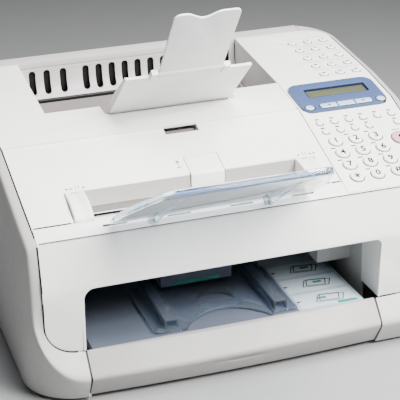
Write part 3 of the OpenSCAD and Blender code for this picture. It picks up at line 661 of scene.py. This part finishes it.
def side_cover(node, end_x, side):
    """Thin curved cover; side is 1 for the left one and -1 for its mirror image."""
    rings = []
    for seam, crease, wide, foot in cover_stations(end_x):
        seam, crease, wide, foot = (Vector(p) for p in (seam, crease, wide, foot))
        section = [seam, seam.lerp(crease, 0.5), crease.lerp(seam, 0.12), crease.lerp(wide, 0.10),
                   crease.lerp(wide, 0.45), wide, wide.lerp(foot, 0.33), wide.lerp(foot, 0.7), foot]
        rings.append([(p.x * side, p.y, p.z) for p in section])
    bm = loft(rings, closed=False)
    bm.faces.ensure_lookup_table()
    middle = bm.faces[len(bm.faces) // 2]
    middle.normal_update()
    if middle.normal.x * side > 0:
        bmesh.ops.reverse_faces(bm, faces=bm.faces)
    obj = as_object(node + "_skin", bm)
    smooth = obj.modifiers.new("smooth", "SUBSURF")
    smooth.levels = smooth.render_levels = 1
    smooth.boundary_smooth = "PRESERVE_CORNERS"
    shell = obj.modifiers.new("shell", "SOLIDIFY")
    shell.thickness = WALL * MM
    shell.offset = -1
    bake(obj)
    # the side covers take the darker copy of the shell white as painted shade
    stand_in(obj, node, SHADED_SHELL_WHITE, 50)


# ---------- Front ----------

DOC_X = -33.5
LEG_X = (DOC_X - 53.5, DOC_X + 53.5)
SLOT_X = [DOC_X + 58.3 * i for i in (-1.5, -0.5, 0.5, 1.5)]
RETURN_Y = -66


def bay_outline(gap=0, low=0):
    """The bay's opening in the front, with rounded upper corners."""
    return ([(BAY_LEFT - gap, low), (BAY_RIGHT + gap, low)]
            + arc(BAY_RIGHT - 6, BAY_TOP - 6, 6 + gap, 0, 90)
            + arc(BAY_LEFT + 10, BAY_TOP - 10, 10 + gap, 90, 180))


def strip_slot(x, w, d, low, high):
    """One of the slots in the strip under the document tray."""
    return prism(round_rect(w, d, 0.5, x, 9.2, 3), STRIP, low, high)


def front_cover():
    """Curved front with the tray strip on top and walls round the paper bay."""
    half = SEAM_X - SEAM / 2
    profile = filleted([(-102.2, 51, 0), (-109, 113, 60), (-102, 160, 4.5), (-85.6, 166.25, 0.6),
                        (-85.6, 163.6, 0), (-99.6, 158.3, 2), (-106.4, 113, 58), (-99.8, 51, 0)])
    obj = as_object("front_cover_skin", prism(profile, SIDE, -half, half))
    outline = ([(half, 300), (-half, 300)] + arc(CORNER_R - SEAM_X, CORNER_Z, CORNER_R, 180, 270)
               + arc(SEAM_X - CORNER_R, CORNER_Z, CORNER_R, 270, 360))
    boolean(obj, prism(outline, FRONT, 60, 130), "INTERSECT")
    walls = as_object("bay_walls", prism(bay_outline(2, 51), FRONT, -RETURN_Y, 112))
    depth = [(-102.4, 40), (-108.2, 113), (-108.6, 118), (RETURN_Y, 118), (RETURN_Y, 40)]
    boolean(walls, prism(depth, SIDE, -200, 200), "INTERSECT")
    boolean(obj, opened(walls.data), "UNION")
    bpy.data.objects.remove(walls)
    slots = [strip_slot(x, 22, 2.4, -8, 4) for x in SLOT_X]
    notch = block((PANEL_X - SEAM / 2, STEP[0] + 1, 140), (SEAM_X + 1, -60, 190))
    boolean(obj, joined(prism(bay_outline(), FRONT, 60, 130), notch, *slots))
    round_edges(obj, 0.55, 34, 3)
    stand_in(obj, "front_cover", WHITE)


def tray_lugs():
    """Pairs of lugs that hold the legs of the document tray."""
    outline = filleted([(-99.8, 160.5, 0), (-95.2, 162, 0), (-95.2, 166, 2), (-99.8, 166, 2)])
    places = [leg + side * 3.1 for leg in LEG_X for side in (-1, 1)]
    lugs = [prism(outline, SIDE, x - 1.2, x + 1.2) for x in places]
    piece("tray_lugs", joined(*lugs), "chassis", WHITE, (0.25,))


def cassette_front():
    """Bowed front of the cassette with a shallow grip under its ridge."""
    x0, x1 = BAY_LEFT + 0.9, BAY_RIGHT - 3.6
    middle, half = (x0 + x1) / 2, (x1 - x0) / 2
    profile = filleted([(-104, 6, 1.5), (*RIDGE, 5), (-102, 49.4, 2.2), (-100.2, 49.4, 0.6),
                        (-100.2, 6, 0)], 5)
    count = 28
    rings = []
    for i in range(count + 1):
        x = lerp(x0, x1, i / count)
        bow = 4 * (1 - (abs(x - middle) / half) ** 2)
        rings.append([(x, y - (bow if y < -101 else 0), z) for y, z in profile])
    grip = ball(48, lambda p: Vector((p.x * 34 - 16, p.y * 5 - 122.2, p.z * 3.6 + 21.5)) * MM)
    # the cassette front's grey is darkened as painted shade
    skin("cassette_front", loft(rings), CASSETTE_GREY_AND_SHADE, (0.35, 40, 2), grip)


# ---------- Keys and panel ----------

# centres of the keys: the number, start, stop and function keys on FEEDER, one-touch on REAR
KEY_FIRST = (112.5, 2.0)
KEY_PITCH = (20.7, 17.4)
NUMBER_KEYS = ["key_" + name for name in (*"123456789", "star", "0", "hash")]
GLYPHS = "123456789*0#"
START_AT = (177, 21)
STOP_AT = (177, 46.5)
FUNCTION_KEYS = ([(108 + 15.1 * i, 83.5) for i in range(6)] + [(108.9 + 15.1 * i, 70) for i in range(4)]
                 + [(184, 70)])
ONE_TOUCH = [(149.5 + 17.9 * i, 6 + 21.6 * j) for j in range(5) for i in range(3)]
KEY_R, BIG_R, FUNCTION_R, ONE_TOUCH_R, ROUND_R = 6.5, 9, 3.5, 4.2, 4.5

# printed marks and painted shade lines reach from just under a surface to just over it
MARK_SPAN = (-0.02, 0.05)

# the bezel round the display: its plane and size, its round and rocker keys, and its window
BEZEL = slope((8, top_z(8) + 0.6), (62, top_z(62) + 0.4))
BEZEL_LEN = 53
BEZEL_X, BEZEL_W = 143.7, 90.5
CURSOR_B = 6.8
ROUND_X = (106.5, 182)
ROCKER_X = [144.8 + 18.6 * i for i in (-1, 0, 1)]
WINDOW = (65.2, 17.2)
WINDOW_AT = (145.7, 33.5)


def key_centre(i):
    """Centre of a number key, counted in rows from key 1."""
    return KEY_FIRST[0] + KEY_PITCH[0] * (i % 3), KEY_FIRST[1] + KEY_PITCH[1] * (3 - i // 3)


def glyph(text, size, plane, centre, height, thick=0.12):
    """A raised figure of a generic typeface as a bmesh in the plane."""
    curve = bpy.data.curves.new("figure", "FONT")
    curve.body = text
    curve.size = size
    curve.extrude = thick / 2
    curve.offset = 0.3
    curve.resolution_u = 4
    figure = bpy.data.objects.new("figure", curve)
    bpy.context.scene.collection.objects.link(figure)
    bpy.context.view_layer.update()
    graph = bpy.context.evaluated_depsgraph_get()
    mesh = bpy.data.meshes.new_from_object(figure.evaluated_get(graph))
    bm = opened(mesh)
    xs = [v.co.x for v in bm.verts]
    ys = [v.co.y for v in bm.verts]
    mid = ((min(xs) + max(xs)) / 2, (min(ys) + max(ys)) / 2)
    for v in bm.verts:
        v.co = plane.at(centre[0] + v.co.x - mid[0], centre[1] + v.co.y - mid[1], height + v.co.z)
    bpy.data.objects.remove(figure)
    bpy.data.curves.remove(curve)
    bpy.data.meshes.remove(mesh)
    return bm


def ring(plane, centre, inner, outer, drop, low=-2.2, high=0.02, segments=32):
    """A flat ring round a centre on a plane, wider on its lower side by a drop of its outer edge."""
    bm = bmesh.new()
    loops = []
    for outside, h in ((False, low), (True, low), (True, high), (False, high)):
        loop = []
        for i in range(segments):
            t = 2 * math.pi * i / segments
            r = max(inner + 0.04, outer - drop * math.sin(t)) if outside else inner
            loop.append(bm.verts.new(plane.round(centre, r, t, h)))
        loops.append(loop)
    bridge(bm, loops + loops[:1])
    return outward(bm)


def key_wells():
    """Black rings of painted shade in the gaps round the keys, wider on their lower side, and black bars of
    it under the rocker keys.
    """
    parts = [ring(FEEDER, key_centre(i), KEY_R + 0.22, KEY_R + 0.85, 0.2, segments=40) for i in range(12)]
    parts += [ring(FEEDER, c, BIG_R + 0.22, BIG_R + 0.85, 0.2, segments=56) for c in (START_AT, STOP_AT)]
    parts += [ring(FEEDER, c, FUNCTION_R + 0.2, FUNCTION_R + 0.65, 0.45) for c in FUNCTION_KEYS]
    parts += [ring(REAR, c, ONE_TOUCH_R + 0.2, ONE_TOUCH_R + 0.75, 0.5) for c in ONE_TOUCH]
    parts += [ring(BEZEL, (x, CURSOR_B), ROUND_R + 0.12, ROUND_R + 0.85, 0.5, -1, 2.55) for x in ROUND_X]
    parts += [plate(x - 7.4, CURSOR_B - 4.95, x + 7.4, CURSOR_B - 3.95, BEZEL, -1, 2.55) for x in ROCKER_X]
    piece("key_wells", joined(*parts), "chassis", KEY_GAP_SHADE)


def vent_shade():
    """Black shade behind the vents."""
    low, high = node_box("output_bin")
    sheet = block((low.x + 3, 202.6, 190), (high.x - 3, 203.4, 214))
    piece("vent_shade", sheet, "chassis", BLACK_PLASTIC_AND_SHADE)


def key_profile(r, h, drop=4.4):
    """Half section of a round key: straight stem, rounded shoulder and a slightly domed top."""
    edge, dome = 1.0, 0.25
    turns = [math.radians(a) for a in (0, 22, 45, 67, 90)]
    shoulder = [(r - edge + edge * math.cos(a), h - dome - edge + edge * math.sin(a)) for a in turns]
    return [(r, -drop)] + shoulder + [(r * 0.55, h - dome * 0.3), (r * 0.25, h - 0.02), (0, h)]


def two_tone(node, base, marks, material):
    """Keys that stand for a node, with printed marks as a second material."""
    first = len(base.faces)
    bm = joined(base, *marks)
    bm.faces.ensure_lookup_table()
    for face in bm.faces[first:]:
        face.material_index = 1
    obj = as_object(node + "_skin", bm)
    obj.data.materials.append(material)
    obj.data.materials.append(INK)
    stand_in(obj, node, None)


def number_keys():
    for i, (node, text) in enumerate(zip(NUMBER_KEYS, GLYPHS)):
        cap = lathe(key_profile(KEY_R, 2.2), FEEDER, key_centre(i))
        figure = glyph(text, 9.5 if text != "*" else 13, FEEDER, key_centre(i), 2.17)
        two_tone(node, cap, [figure], KEY_WHITE)


def big_keys():
    """Start key with an arrow and stop key with an octagon."""
    x, y = START_AT
    arrow = filleted([(x - 2.6, y - 3, 0.5), (x + 3.4, y, 0.5), (x - 2.6, y + 3, 0.5)])
    octagon = filleted([(*p, 0.3) for p in arc(*STOP_AT, 2.8, 22, 337, 7)], 2)
    for node, centre, material, outline in (("start_key", START_AT, KEY_GREEN, arrow),
                                            ("stop_key", STOP_AT, KEY_PINK, octagon)):
        cap = lathe(key_profile(BIG_R, 2.4), FEEDER, centre, 56)
        two_tone(node, cap, [prism(outline, FEEDER, 2.3, 2.45)], material)


def small_keys():
    """Function keys and numbered one-touch keys."""
    caps = [lathe(key_profile(FUNCTION_R, 1.8), FEEDER, p, 32) for p in FUNCTION_KEYS]
    skin("function_keys", joined(*caps), KEY_WHITE)
    caps = [lathe(key_profile(ONE_TOUCH_R, 1.8), REAR, p, 32) for p in ONE_TOUCH]
    figures = []
    for i, p in enumerate(ONE_TOUCH):
        number = 3 * (4 - i // 3) + i % 3 + 1
        figures.append(glyph(str(number), 3.6, REAR, p, 1.78, 0.08))
    two_tone("one_touch_keys", joined(*caps), figures, KEY_WHITE)


def lcd_bezel():
    """Blue plate with holes for the display and its keys, over a black floor of painted shade."""
    outline = round_rect(BEZEL_W, BEZEL_LEN, 11, BEZEL_X, BEZEL_LEN / 2, 10)
    holes = [prism(round_rect(*WINDOW, 2, *WINDOW_AT), BEZEL, -6, 6)]
    holes += [lathe([(5.2, -6), (5.2, 6)], BEZEL, (x, CURSOR_B)) for x in ROUND_X]
    holes.append(prism(round_rect(56.4, 8.9, 4.2, ROCKER_X[1], CURSOR_B, 8), BEZEL, -6, 6))
    skin("lcd_bezel", prism(outline, BEZEL, 0.2, 2.4), BLUE, (0.5, 34, 3), joined(*holes))
    # black floor of painted shade under the bezel's holes
    floor = prism(round_rect(BEZEL_W - 10, BEZEL_LEN - 9, 7.5, BEZEL_X, BEZEL_LEN / 2), BEZEL, -5.2, -4.6)
    piece("bezel_shade_floor", floor, "chassis", BLACK_PLASTIC_AND_SHADE, (0.2,))


def lcd_window():
    """Dark surround with the glossy olive display set into it."""
    x, y = WINDOW_AT
    border = round_rect(WINDOW[0] - 0.3, WINDOW[1] - 0.3, 1.8, x, y)
    surround = prism(border, BEZEL, -3.2, 1.9)
    recess = prism(round_rect(62.6, 13.8, 0.8, x, y - 0.3), BEZEL, 0.3, 3)
    piece("lcd_surround", surround, "chassis", NAVY, (0.2, 34, 2), recess)
    display = prism(round_rect(62.4, 13.6, 0.7, x, y - 0.3), BEZEL, 0.32, 0.8)
    piece("lcd_display", display, "chassis", LCD, (0.15, 34, 2), replaces=["lcd_window"])


def cursor_keys():
    """Two round keys and a row of three rocker keys on the bezel."""
    keys = joined(*[lathe(key_profile(ROUND_R, 3.3, 3.0), BEZEL, (x, CURSOR_B), 40) for x in ROUND_X])
    bars = []
    for i, x in enumerate(ROCKER_X):
        left, right = (3.4, 1, 1)[i], (1, 1, 3.4)[i]
        bars.append(prism(filleted([(x - 8.7, CURSOR_B - 3.8, left), (x + 8.7, CURSOR_B - 3.8, right),
                                    (x + 8.7, CURSOR_B + 3.8, right), (x - 8.7, CURSOR_B + 3.8, left)]),
                          BEZEL, -3, 3.3))
    rocker = as_object("rocker", joined(*bars))
    round_edges(rocker, 0.8, 34, 4)
    keys.from_mesh(rocker.data)
    bpy.data.objects.remove(rocker)
    marks = []
    for x, s in ((ROCKER_X[0], -1), (ROCKER_X[2], 1)):
        marks.append(prism(filleted([(x - 1.8 * s, CURSOR_B - 1.5, 0.2), (x + 1.8 * s, CURSOR_B, 0.2),
                                     (x - 1.8 * s, CURSOR_B + 1.5, 0.2)]), BEZEL, 3.25, 3.35))
    two_tone("cursor_keys", keys, marks, KEY_CYAN)


def dash(x, s, w, tall):
    """A short printed bar on the plane of the feeder and the keys."""
    return prism(round_rect(w, tall, tall * 0.45, x, s, 3), FEEDER, 0, 0.06)


def panel_marks():
    """Generic legends: short bars instead of words, and pale lines of painted shade for the grooves between
    the one-touch rows.
    """
    captioned = [key_centre(i) for i in range(1, 12) if i != 9]
    marks = [dash(x - 6.5, s + 8.3, 5.2, 1.5) for x, s in captioned]
    marks += [dash(x - 1, s + 5.7, 4.6, 1.7) for x, s in FUNCTION_KEYS]
    marks += [dash(x, s + 13, 9, 1.0) for x, s in (START_AT, STOP_AT)]
    piece("panel_legends", joined(*marks), "chassis", INK)
    # the lines between the one-touch rows are pale painted shade for grooves
    rows = [18 + 21.2 * j for j in range(5)]
    lines = [plate(143.5, s - 0.22, 194, s + 0.22, REAR, *MARK_SPAN) for s in rows]
    piece("one_touch_groove_shades", joined(*lines), "chassis", PALE_INK_AND_SHADE)


# ---------- Feeder ----------

MOUTH_LEFT, MOUTH_RIGHT, MOUTH_Y = -155, 84, -47


def feeder_marks():
    """Paper width marks over both guides, and an arrow beside the latch."""
    s = 42
    marks = [plate(x - 0.3, s, x + 0.3, s + 5, FEEDER, *MARK_SPAN) for x in (-142.6, -139.9, 74.6, 77.3)]
    marks += [dash(x, s + 1.2, 2.6, 1.6) for x in (-151, -147, -135.5, 70, 81.7, 85.7)]
    x, s = -43.5, 58
    marks.append(plate(x - 0.4, s - 4, x + 0.4, s, FEEDER, *MARK_SPAN))
    marks.append(prism([(x - 2.2, s - 0.5), (x + 2.2, s - 0.5), (x, s + 2.4)], FEEDER, *MARK_SPAN))
    marks.append(dash(x, s - 7, 5, 1.2))
    piece("feeder_marks", joined(*marks), "feeder_cover", PALE_INK_AND_SHADE)


def mouth_lining():
    """Faces of the curtain behind the document mouth: a grey band over a darker band of painted shade."""
    x0, x1 = MOUTH_LEFT + 0.2, MOUTH_RIGHT - 0.2
    top = top_z(MOUTH_Y) - 1.4
    bands = [plate(a, 163.7, b, top, FRONT, 0.02 - MOUTH_Y, 0.22 - MOUTH_Y)
             for a, b in ((x0, -36.9), (-3.1, x1))]
    piece("mouth_upper_band", joined(*bands), "feeder_cover", MOUTH_GREY)
    lower = plate(x0, 155.6, x1, 162.3, FRONT, -1.18 - MOUTH_Y, -0.98 - MOUTH_Y)
    piece("mouth_shade_band", lower, "feeder_cover", MOUTH_SHADE)


def document_guide(node):
    """Side guide with a shallow saddle across its curved top."""
    low, high = node_box(node)
    back, floor = MOUTH_Y - 0.6, 155.4
    rings = []
    count = 12
    for i in range(count + 1):
        u = i / count
        dish = 1.5 * math.sin(math.pi * min(1, max(0, (u - 0.1) / 0.8))) ** 1.5
        turns = [math.radians(7.5 * k) for k in range(13)]
        arch = [(MOUTH_Y - 4 - 33 * math.sin(t), 166.3 + 13 * math.cos(t) - dish) for t in turns]
        face = [(STRIP_TOP[0] + 1.4, 163.5), (STRIP_TOP[0] + 5, floor), (MOUTH_Y - 1, floor), (back, 165),
                (back, top_z(MOUTH_Y) - 0.4 - dish)]
        x = lerp(low.x + 0.3, high.x - 0.3, u)
        rings.append([(x, y, max(z, floor)) for y, z in face + arch])
    skin(node, loft(rings), WHITE, (0.9, 40, 3), angle=45)


def finger_pocket():
    """Pocket under the notch at the rear of the feeder cover, darkened as painted shade."""
    profile = [(8.4, 187), (19.6, 190.5), (19.6, 198), (19, 198), (19, 191.4), (9, 188.3), (9, 196.4),
               (8.4, 196.2)]
    pocket = prism(profile, SIDE, -41.6, -9.4)
    piece("finger_pocket", pocket, "chassis", MOUTH_SHADE, (0.2, 34, 2))


# ---------- Painted shade in seams and gaps ---

def seam_seal(name, points, inward, sides, before, after, depth=0.04, body="chassis"):
    """A thin black strip of painted shade behind a seam. It runs through the points, reaches before and
    after them along the sideways directions, and goes inward from a depth under them."""
    rings = []
    inward = Vector(inward)
    for p, side in zip(points, sides):
        mouth = Vector(p) + inward * depth
        root = Vector(p) + inward * (depth + 2.2)
        side = Vector(side)
        rings.append([mouth - side * before, mouth + side * after, root + side * 0.28, root - side * 0.28])
    piece(name, loft(rings), body, BLACK_PLASTIC_AND_SHADE)


def front_and_top_seals(side, name):
    """Black strips of painted shade in the seams between a side cover and the front and top; side is 1 for
    the left cover.
    """
    points, sides = [], []
    for a in range(88, -1, -8):
        t = math.radians(a)
        z = CORNER_Z - CORNER_R * math.sin(t)
        x = -CORNER_X - CORNER_R * math.cos(t)
        points.append((x * side, front_face_y(z) - 0.55 - 0.5 * math.sin(t), z))
        sides.append((math.cos(t) * side, 0, math.sin(t)))
    for z in (100, 120, 140, 152, 157):
        points.append((-SEAM_X * side, front_face_y(z) - 0.55, z))
        sides.append((side, 0, 0))
    seam_seal("front_seam_shade_" + name, points, (0, 1, 0), sides, 0.75, 0.75)
    points = [((-SEAM_X - flare(y)) * side, y, top_z(y))
              for y in (-96, -85, -60, -30, 0, 18, 40, 74, 110, 150, 172)]
    after = 0.28 if side > 0 else 0.6
    seam_seal("top_seam_shade_" + name, points, (0, 0, -1), [(side, 0, 0)] * len(points), 0.75, after, 0)


def cassette_seals():
    """Black strips of painted shade in the gaps beside the cassette's front."""
    profile = filleted([(-103.9, 6.4, 1.5), (-119.8, 30, 5), (-102, 49.1, 2.2), (-99, 49.1, 0.6),
                        (-97, 6.4, 0)], 5)
    for name, x0, x1 in (("left", BAY_LEFT - 0.65, BAY_LEFT + 0.9),
                         ("right", BAY_RIGHT - 3.6, BAY_RIGHT - 2.15)):
        piece("cassette_gap_shade_" + name, prism(profile, SIDE, x0, x1), "drawer", BLACK_PLASTIC_AND_SHADE)


# black strips of painted shade in the seams and gaps, and a pale line of painted shade along the step of the
# front
def seals():
    front_and_top_seals(1, "left")
    front_and_top_seals(-1, "right")
    points = [(PANEL_X - 0.15, y, top_z(y)) for y in (-83, -60, -30, 0, 18, 45, 69)]
    seam_seal("panel_seam_shade", points, (0, 0, -1), [(1, 0, 0)] * len(points), 0.4, 0.58)
    across = (0, 0.934, 0.357)
    for name, x0, x1 in (("left", -190, MOUTH_LEFT - 2.6), ("right", MOUTH_RIGHT + 2.6, 94)):
        points = [(x0, -84.7, 166.55), (x1, -84.7, 166.55)]
        seam_seal("strip_seam_shade_" + name, points, (0, 0.357, -0.934), [across] * 2, 0.9, 0.28, -0.05)
    cassette_seals()
    # pale line of painted shade along the crease at the step of the front
    rings = [[(x, -102.6 + t, 160.1 + h) for t, h in ((-0.25, -0.3), (0.25, 0), (0.5, -0.6), (0, -0.9))]
             for x in (-190, 191)]
    piece("step_crease_shade", loft(rings), "chassis", PALE_INK_AND_SHADE)


def strip_slots():
    """Black floors of painted shade in the four slots of the tray strip."""
    floors = [strip_slot(x, 21.4, 2.2, -2.4, -0.5) for x in SLOT_X]
    piece("strip_slot_shade_floors", joined(*floors), "chassis", BLACK_PLASTIC_AND_SHADE)


def latch_outline():
    """Black strips of painted shade in the gap along both sides of the latch button."""
    low, high = node_box("latch_button")
    body = "feeder_cover"
    for name, x, before, after in (("left", low.x - 0.25, 0.6, 0.2), ("right", high.x + 0.25, 0.2, 0.6)):
        top = [(x, y, top_z(y)) for y in (-47, -36, -25.2)]
        seam_seal("latch_gap_" + name, top, (0, 0, -1), [(1, 0, 0)] * 3, before, after, 0.02, body)
        front = [(x, -47.3, z) for z in (top_z(-47) - 0.5, 166.5)]
        seam_seal("latch_front_gap_" + name, front, (0, 1, 0), [(1, 0, 0)] * 2, before, after, 0, body)


def bin_lining():
    """Sheet rest on the bin's floor, darkened as painted shade, and a black filler of painted shade in the
    slit behind it.
    """
    low, high = node_box("output_bin")
    x0, x1 = low.x + 3.2, high.x - 3.2
    floor = [(92, 174.05), (145, 174.05), (187.4, 183.9), (187.4, 184.2), (145, 174.35), (92, 174.35)]
    piece("bin_floor_lining", prism(floor, SIDE, x0, x1), "chassis", BIN_FLOOR_SHADE)
    slit = [(187.2, 184.1), (186.9, 187.1), (187.7, 188.1), (189, 188.6), (188.6, 184.1)]
    piece("bin_slit_shade", prism(slit, SIDE, x0, x1), "chassis", BLACK_PLASTIC_AND_SHADE)


# ---------- Trays ----------

TRAY_BASE, TRAY_SLOPE, TRAY_LEN = (-95.5, 163.6), 31, 122
TRAY_PLANE = Plane((DOC_X, TRAY_BASE[0], TRAY_BASE[1]), (-1, 0, 0),
                   (0, -math.cos(math.radians(TRAY_SLOPE)), math.sin(math.radians(TRAY_SLOPE))))


def tray_outline(inset):
    """Plan of the document tray with rounded front corners, drawn in by an inset."""
    steps = 8
    edge = [(93 - 18 * (i / steps) ** 2 - inset, 4 + inset * 0.6 + (TRAY_LEN - 18 - inset) * i / steps)
            for i in range(steps + 1)]
    turns = [math.radians(15 * i) for i in range(1, 7)]
    corner = [(63 - inset + 12 * math.cos(t), TRAY_LEN - 14 - inset * 0.4 + 14 * math.sin(t)) for t in turns]
    right = edge + corner
    return right + [(-x, y) for x, y in reversed(right)]


def document_tray():
    """Translucent dish with raised rims, a rolled front lip and two gusset legs."""
    sections = [(0, 0.0), (0, 1.0), (0.2, 4.6), (0.5, 5.4), (0.9, 5.7), (1.4, 5.6), (1.7, 5.0), (2.0, 3.4),
                (2.6, 2.2), (4.0, 1.95)]
    rings = []
    for inset, height in sections:
        row = []
        for x, y in tray_outline(inset):
            low_end = min(1, 0.45 + y / 60)
            rise = height if height < 1.9 else 1.9 + (height - 1.9) * low_end
            row.append(TRAY_PLANE.at(x, y, rise) / MM)
        rings.append(row)
    tip = TRAY_PLANE.at(0, 0.86 * TRAY_LEN, 0.3) / MM
    leg = filleted([(tip.y, tip.z, 0), (-101.6, 161.6, 2.4), (-97.5, 162.3, 1.4), (-95.4, 164.2, 0.8),
                    (-94.8, 165.4, 0)], 4)
    tray = joined(loft(rings), *[prism(leg, SIDE, x - 1.0, x + 1.0) for x in LEG_X])
    skin("document_tray", tray, CLEAR_BLUE, (0.25, 50, 2), angle=40)
    back, front = TRAY_LEN - 10, TRAY_LEN - 2.4
    outline = filleted([(-66, back, 3), (66, back, 3), (61, front, 3), (-61, front, 3)])
    lip = prism(outline, TRAY_PLANE, 1.9, 3.4)
    thumb = ball(40, lambda p: TRAY_PLANE.at(p.x * 15 - 4, TRAY_LEN - 6 + p.y * 2.6, 4.2 + p.z * 2))
    piece("document_tray_lip", lip, "doc_tray", LIP_BLUE, (0.5, 34, 2), thumb)


def finger_arch(count):
    """Curved front edge of the lift plate."""
    return [(lerp(-58, 22, i / count), -93 + 27 * math.sin(math.pi * i / count) ** 0.8)
            for i in range(count + 1)]


def paper_bay():
    """Translucent lift plate on the dark cassette, with a window and a raised front rim."""
    outline = [(-63, -93)] + finger_arch(14) + [(25, -95), (25, -6), (-63, -6)]
    lift = prism(outline, FLOOR, 46.9, 48.3)
    hole = prism([(-34, -49), (2, -52)] + arc(-16, -50, 18, -4, 174, 12)[1:-1], FLOOR, 40, 60)
    piece("lift_plate", lift, "drawer", CLEAR_GREY, (0.4, 34, 2), hole)
    rings = [[(x, y + 0.2, 48.2), (x, y + 0.2, 49.6), (x, y + 1.4, 49.6), (x, y + 1.4, 48.2)]
             for x, y in finger_arch(24)]
    piece("lift_plate_rim", loft(rings), "drawer", CLEAR_GREY, (0.3, 34, 2))


def paper_guide(node, side):
    """Guide with a flat foot and an upside-down channel along its inner edge."""
    low, high = node_box(node)
    inner = high.x if side < 0 else low.x
    outer = low.x if side < 0 else high.x
    foot = prism(filleted([(inner, low.y, 1), (inner, high.y, 1), (outer, high.y, 5), (outer, low.y, 6)]),
                 FLOOR, low.z, low.z + 1.6)
    wall = inner + side * 13
    bottom, top, thick = 48.8, 58, side * 1.6
    section = [(inner, bottom), (inner, top), (wall, top), (wall, bottom), (wall - thick, bottom),
               (wall - thick, top - 1.6), (inner + thick, top - 1.6), (inner + thick, bottom)]
    channel = prism(section, FRONT, -high.y, -low.y - 3)
    skin(node, joined(foot, channel), CLEAR_GREY, (0.5, 34, 3))


def stroke(a, b, z):
    """A thin printed line between two points on the label."""
    a, b = Vector(a), Vector(b)
    side = (b - a).normalized().orthogonal() * 0.95 / 2
    return prism([a - side, b - side, b + side, a + side], FLOOR, z + 0.05, z + 0.1)


def instruction_label():
    """Three plain drawings of a sheet over a tray, each with a green patch and a pointer."""
    low, high = node_box("instruction_label")
    x0, x1, y0, top = low.x, high.x, low.y, high.z
    middle, width = (x0 + x1) / 2, x1 - x0
    sheet = prism(round_rect(width, high.y - y0, 3, middle, (y0 + high.y) / 2, 4), FLOOR, low.z, top)
    skin("instruction_label", sheet, PAPER, (0.1, 34, 1))
    rows = [y0 + 17 + 33 * i for i in range(3)]
    panels = [prism(round_rect(width - 8, 28, 2, middle, cy, 3), FLOOR, top, top + 0.06) for cy in rows]
    piece("label_panels", joined(*panels), "drawer", PAPER_WHITE)
    ink, green = [], []
    cx = middle + 4
    for cy in rows:
        for size, shift in ((15, 0), (11, 3)):
            corners = [(cx - size, cy - size * 0.35), (cx + size * 0.7, cy - size * 0.55),
                       (cx + size * 1.1, cy + size * 0.25 + shift),
                       (cx - size * 0.6, cy + size * 0.5 + shift)]
            ink += [stroke(a, b, top) for a, b in zip(corners, corners[1:] + corners[:1])]
        pointer = filleted([(x0 + 4, cy - 2, 0), (x0 + 8.5, cy, 0), (x0 + 4, cy + 2, 0)])
        ink.append(prism(pointer, FLOOR, top + 0.05, top + 0.1))
        green_x = cx + (2 if cy > rows[0] else -7)
        green.append(prism(round_rect(9, 4, 0.6, green_x, cy + 1.5, 2), FLOOR, top + 0.05, top + 0.12))
    green.append(prism(round_rect(20, 4.4, 0.8, x1 - 15, y0 + 5, 2), FLOOR, top + 0.05, top + 0.12))
    piece("label_drawing", joined(*ink), "drawer", INK)
    piece("label_green", joined(*green), "drawer", TEAL)


def feed_strip():
    """Coloured strip on the lower edge of the pick-up unit."""
    low, high = node_box("feed_block")
    outline = round_rect(47.5, 3.4, 0.6, (low.x + high.x) / 2, 61.4, 3)
    strip = prism(outline, FRONT, -low.y - 0.1, -low.y + 0.5)
    piece("feed_strip", strip, "chassis", TEAL, (0.15, 34, 2))


# ---------- Build ----------

make_camera()
make_studio()
side_cover("side_cover_left", BAY_LEFT - 1, 1)
side_cover("side_cover_right", -(BAY_RIGHT - 1.8), -1)
front_cover()
tray_lugs()
cassette_front()
number_keys()
big_keys()
small_keys()
lcd_bezel()
lcd_window()
cursor_keys()
panel_marks()
feeder_marks()
mouth_lining()
key_wells()
vent_shade()
bin_lining()
latch_outline()
strip_slots()
document_guide("document_guide_left")
document_guide("document_guide_right")
finger_pocket()
seals()
document_tray()
paper_bay()
paper_guide("paper_guide_left", -1)
paper_guide("paper_guide_right", 1)
instruction_label()
feed_strip()


def on_mouth_edge(p):
    along = MOUTH_LEFT - 1 < p.x < MOUTH_RIGHT + 1
    return along and abs(p.y - MOUTH_Y) < 0.2 and abs(p.z - top_z(MOUTH_Y)) < 1


softened("adf_cover", WHITE, 0.45, [(on_mouth_edge, 1.4)], widened)
softened("latch_button", WHITE, 0.4)
softened("top_cover", WHITE, 0.5, shape=widened)
softened("operation_panel", WHITE, 0.3, shape=widened)
for node, material, width in (
        # the rear cover takes the darker copy of the shell white as painted shade
        ("rear_cover", SHADED_SHELL_WHITE, 0.5), ("output_bin", BIN_GREY, 0.4), ("support_tray", TRAY_WHITE, 0.5),
        ("tray_extension", TRAY_WHITE, 0.4), ("base_frame", FRAME_GREY, 0.5), ("feeder_base", WHITE, 0.4),
        ("cassette", SLATE, 0.5), ("cassette_lid", SLATE, 0.4), ("feed_block", SLATE, 0.5),
        ("toner_cartridge", SLATE, 0.5), ("fuser_frame", BLACK_PLASTIC_AND_SHADE, 0.5), ("image_sensor", BLACK_PLASTIC_AND_SHADE, 0.4),
        ("laser_unit", STEEL, 0.5), ("drive_motor", STEEL, 0.5), ("power_supply", STEEL, 0.8),
        ("main_board", BOARD, 0.2), ("rear_connectors", BLACK_PLASTIC_AND_SHADE, 0.4), ("rubber_feet", RUBBER, 0.8),
        ("cover_screws", STEEL, 0.15), ("hinge_pins", STEEL, 0.2), ("motor_pinion", BRASS, 0.3),
        ("photo_drum", DRUM_GREEN, 0.3), ("transfer_roller", RUBBER, 0.3),
        ("fixing_roller", ROLLER_GREY, 0.3), ("pressure_roller", RUBBER_RED, 0.3),
        ("pickup_roller", RUBBER, 0.3), ("document_roller", RUBBER, 0.3)):
    softened(node, material, width)
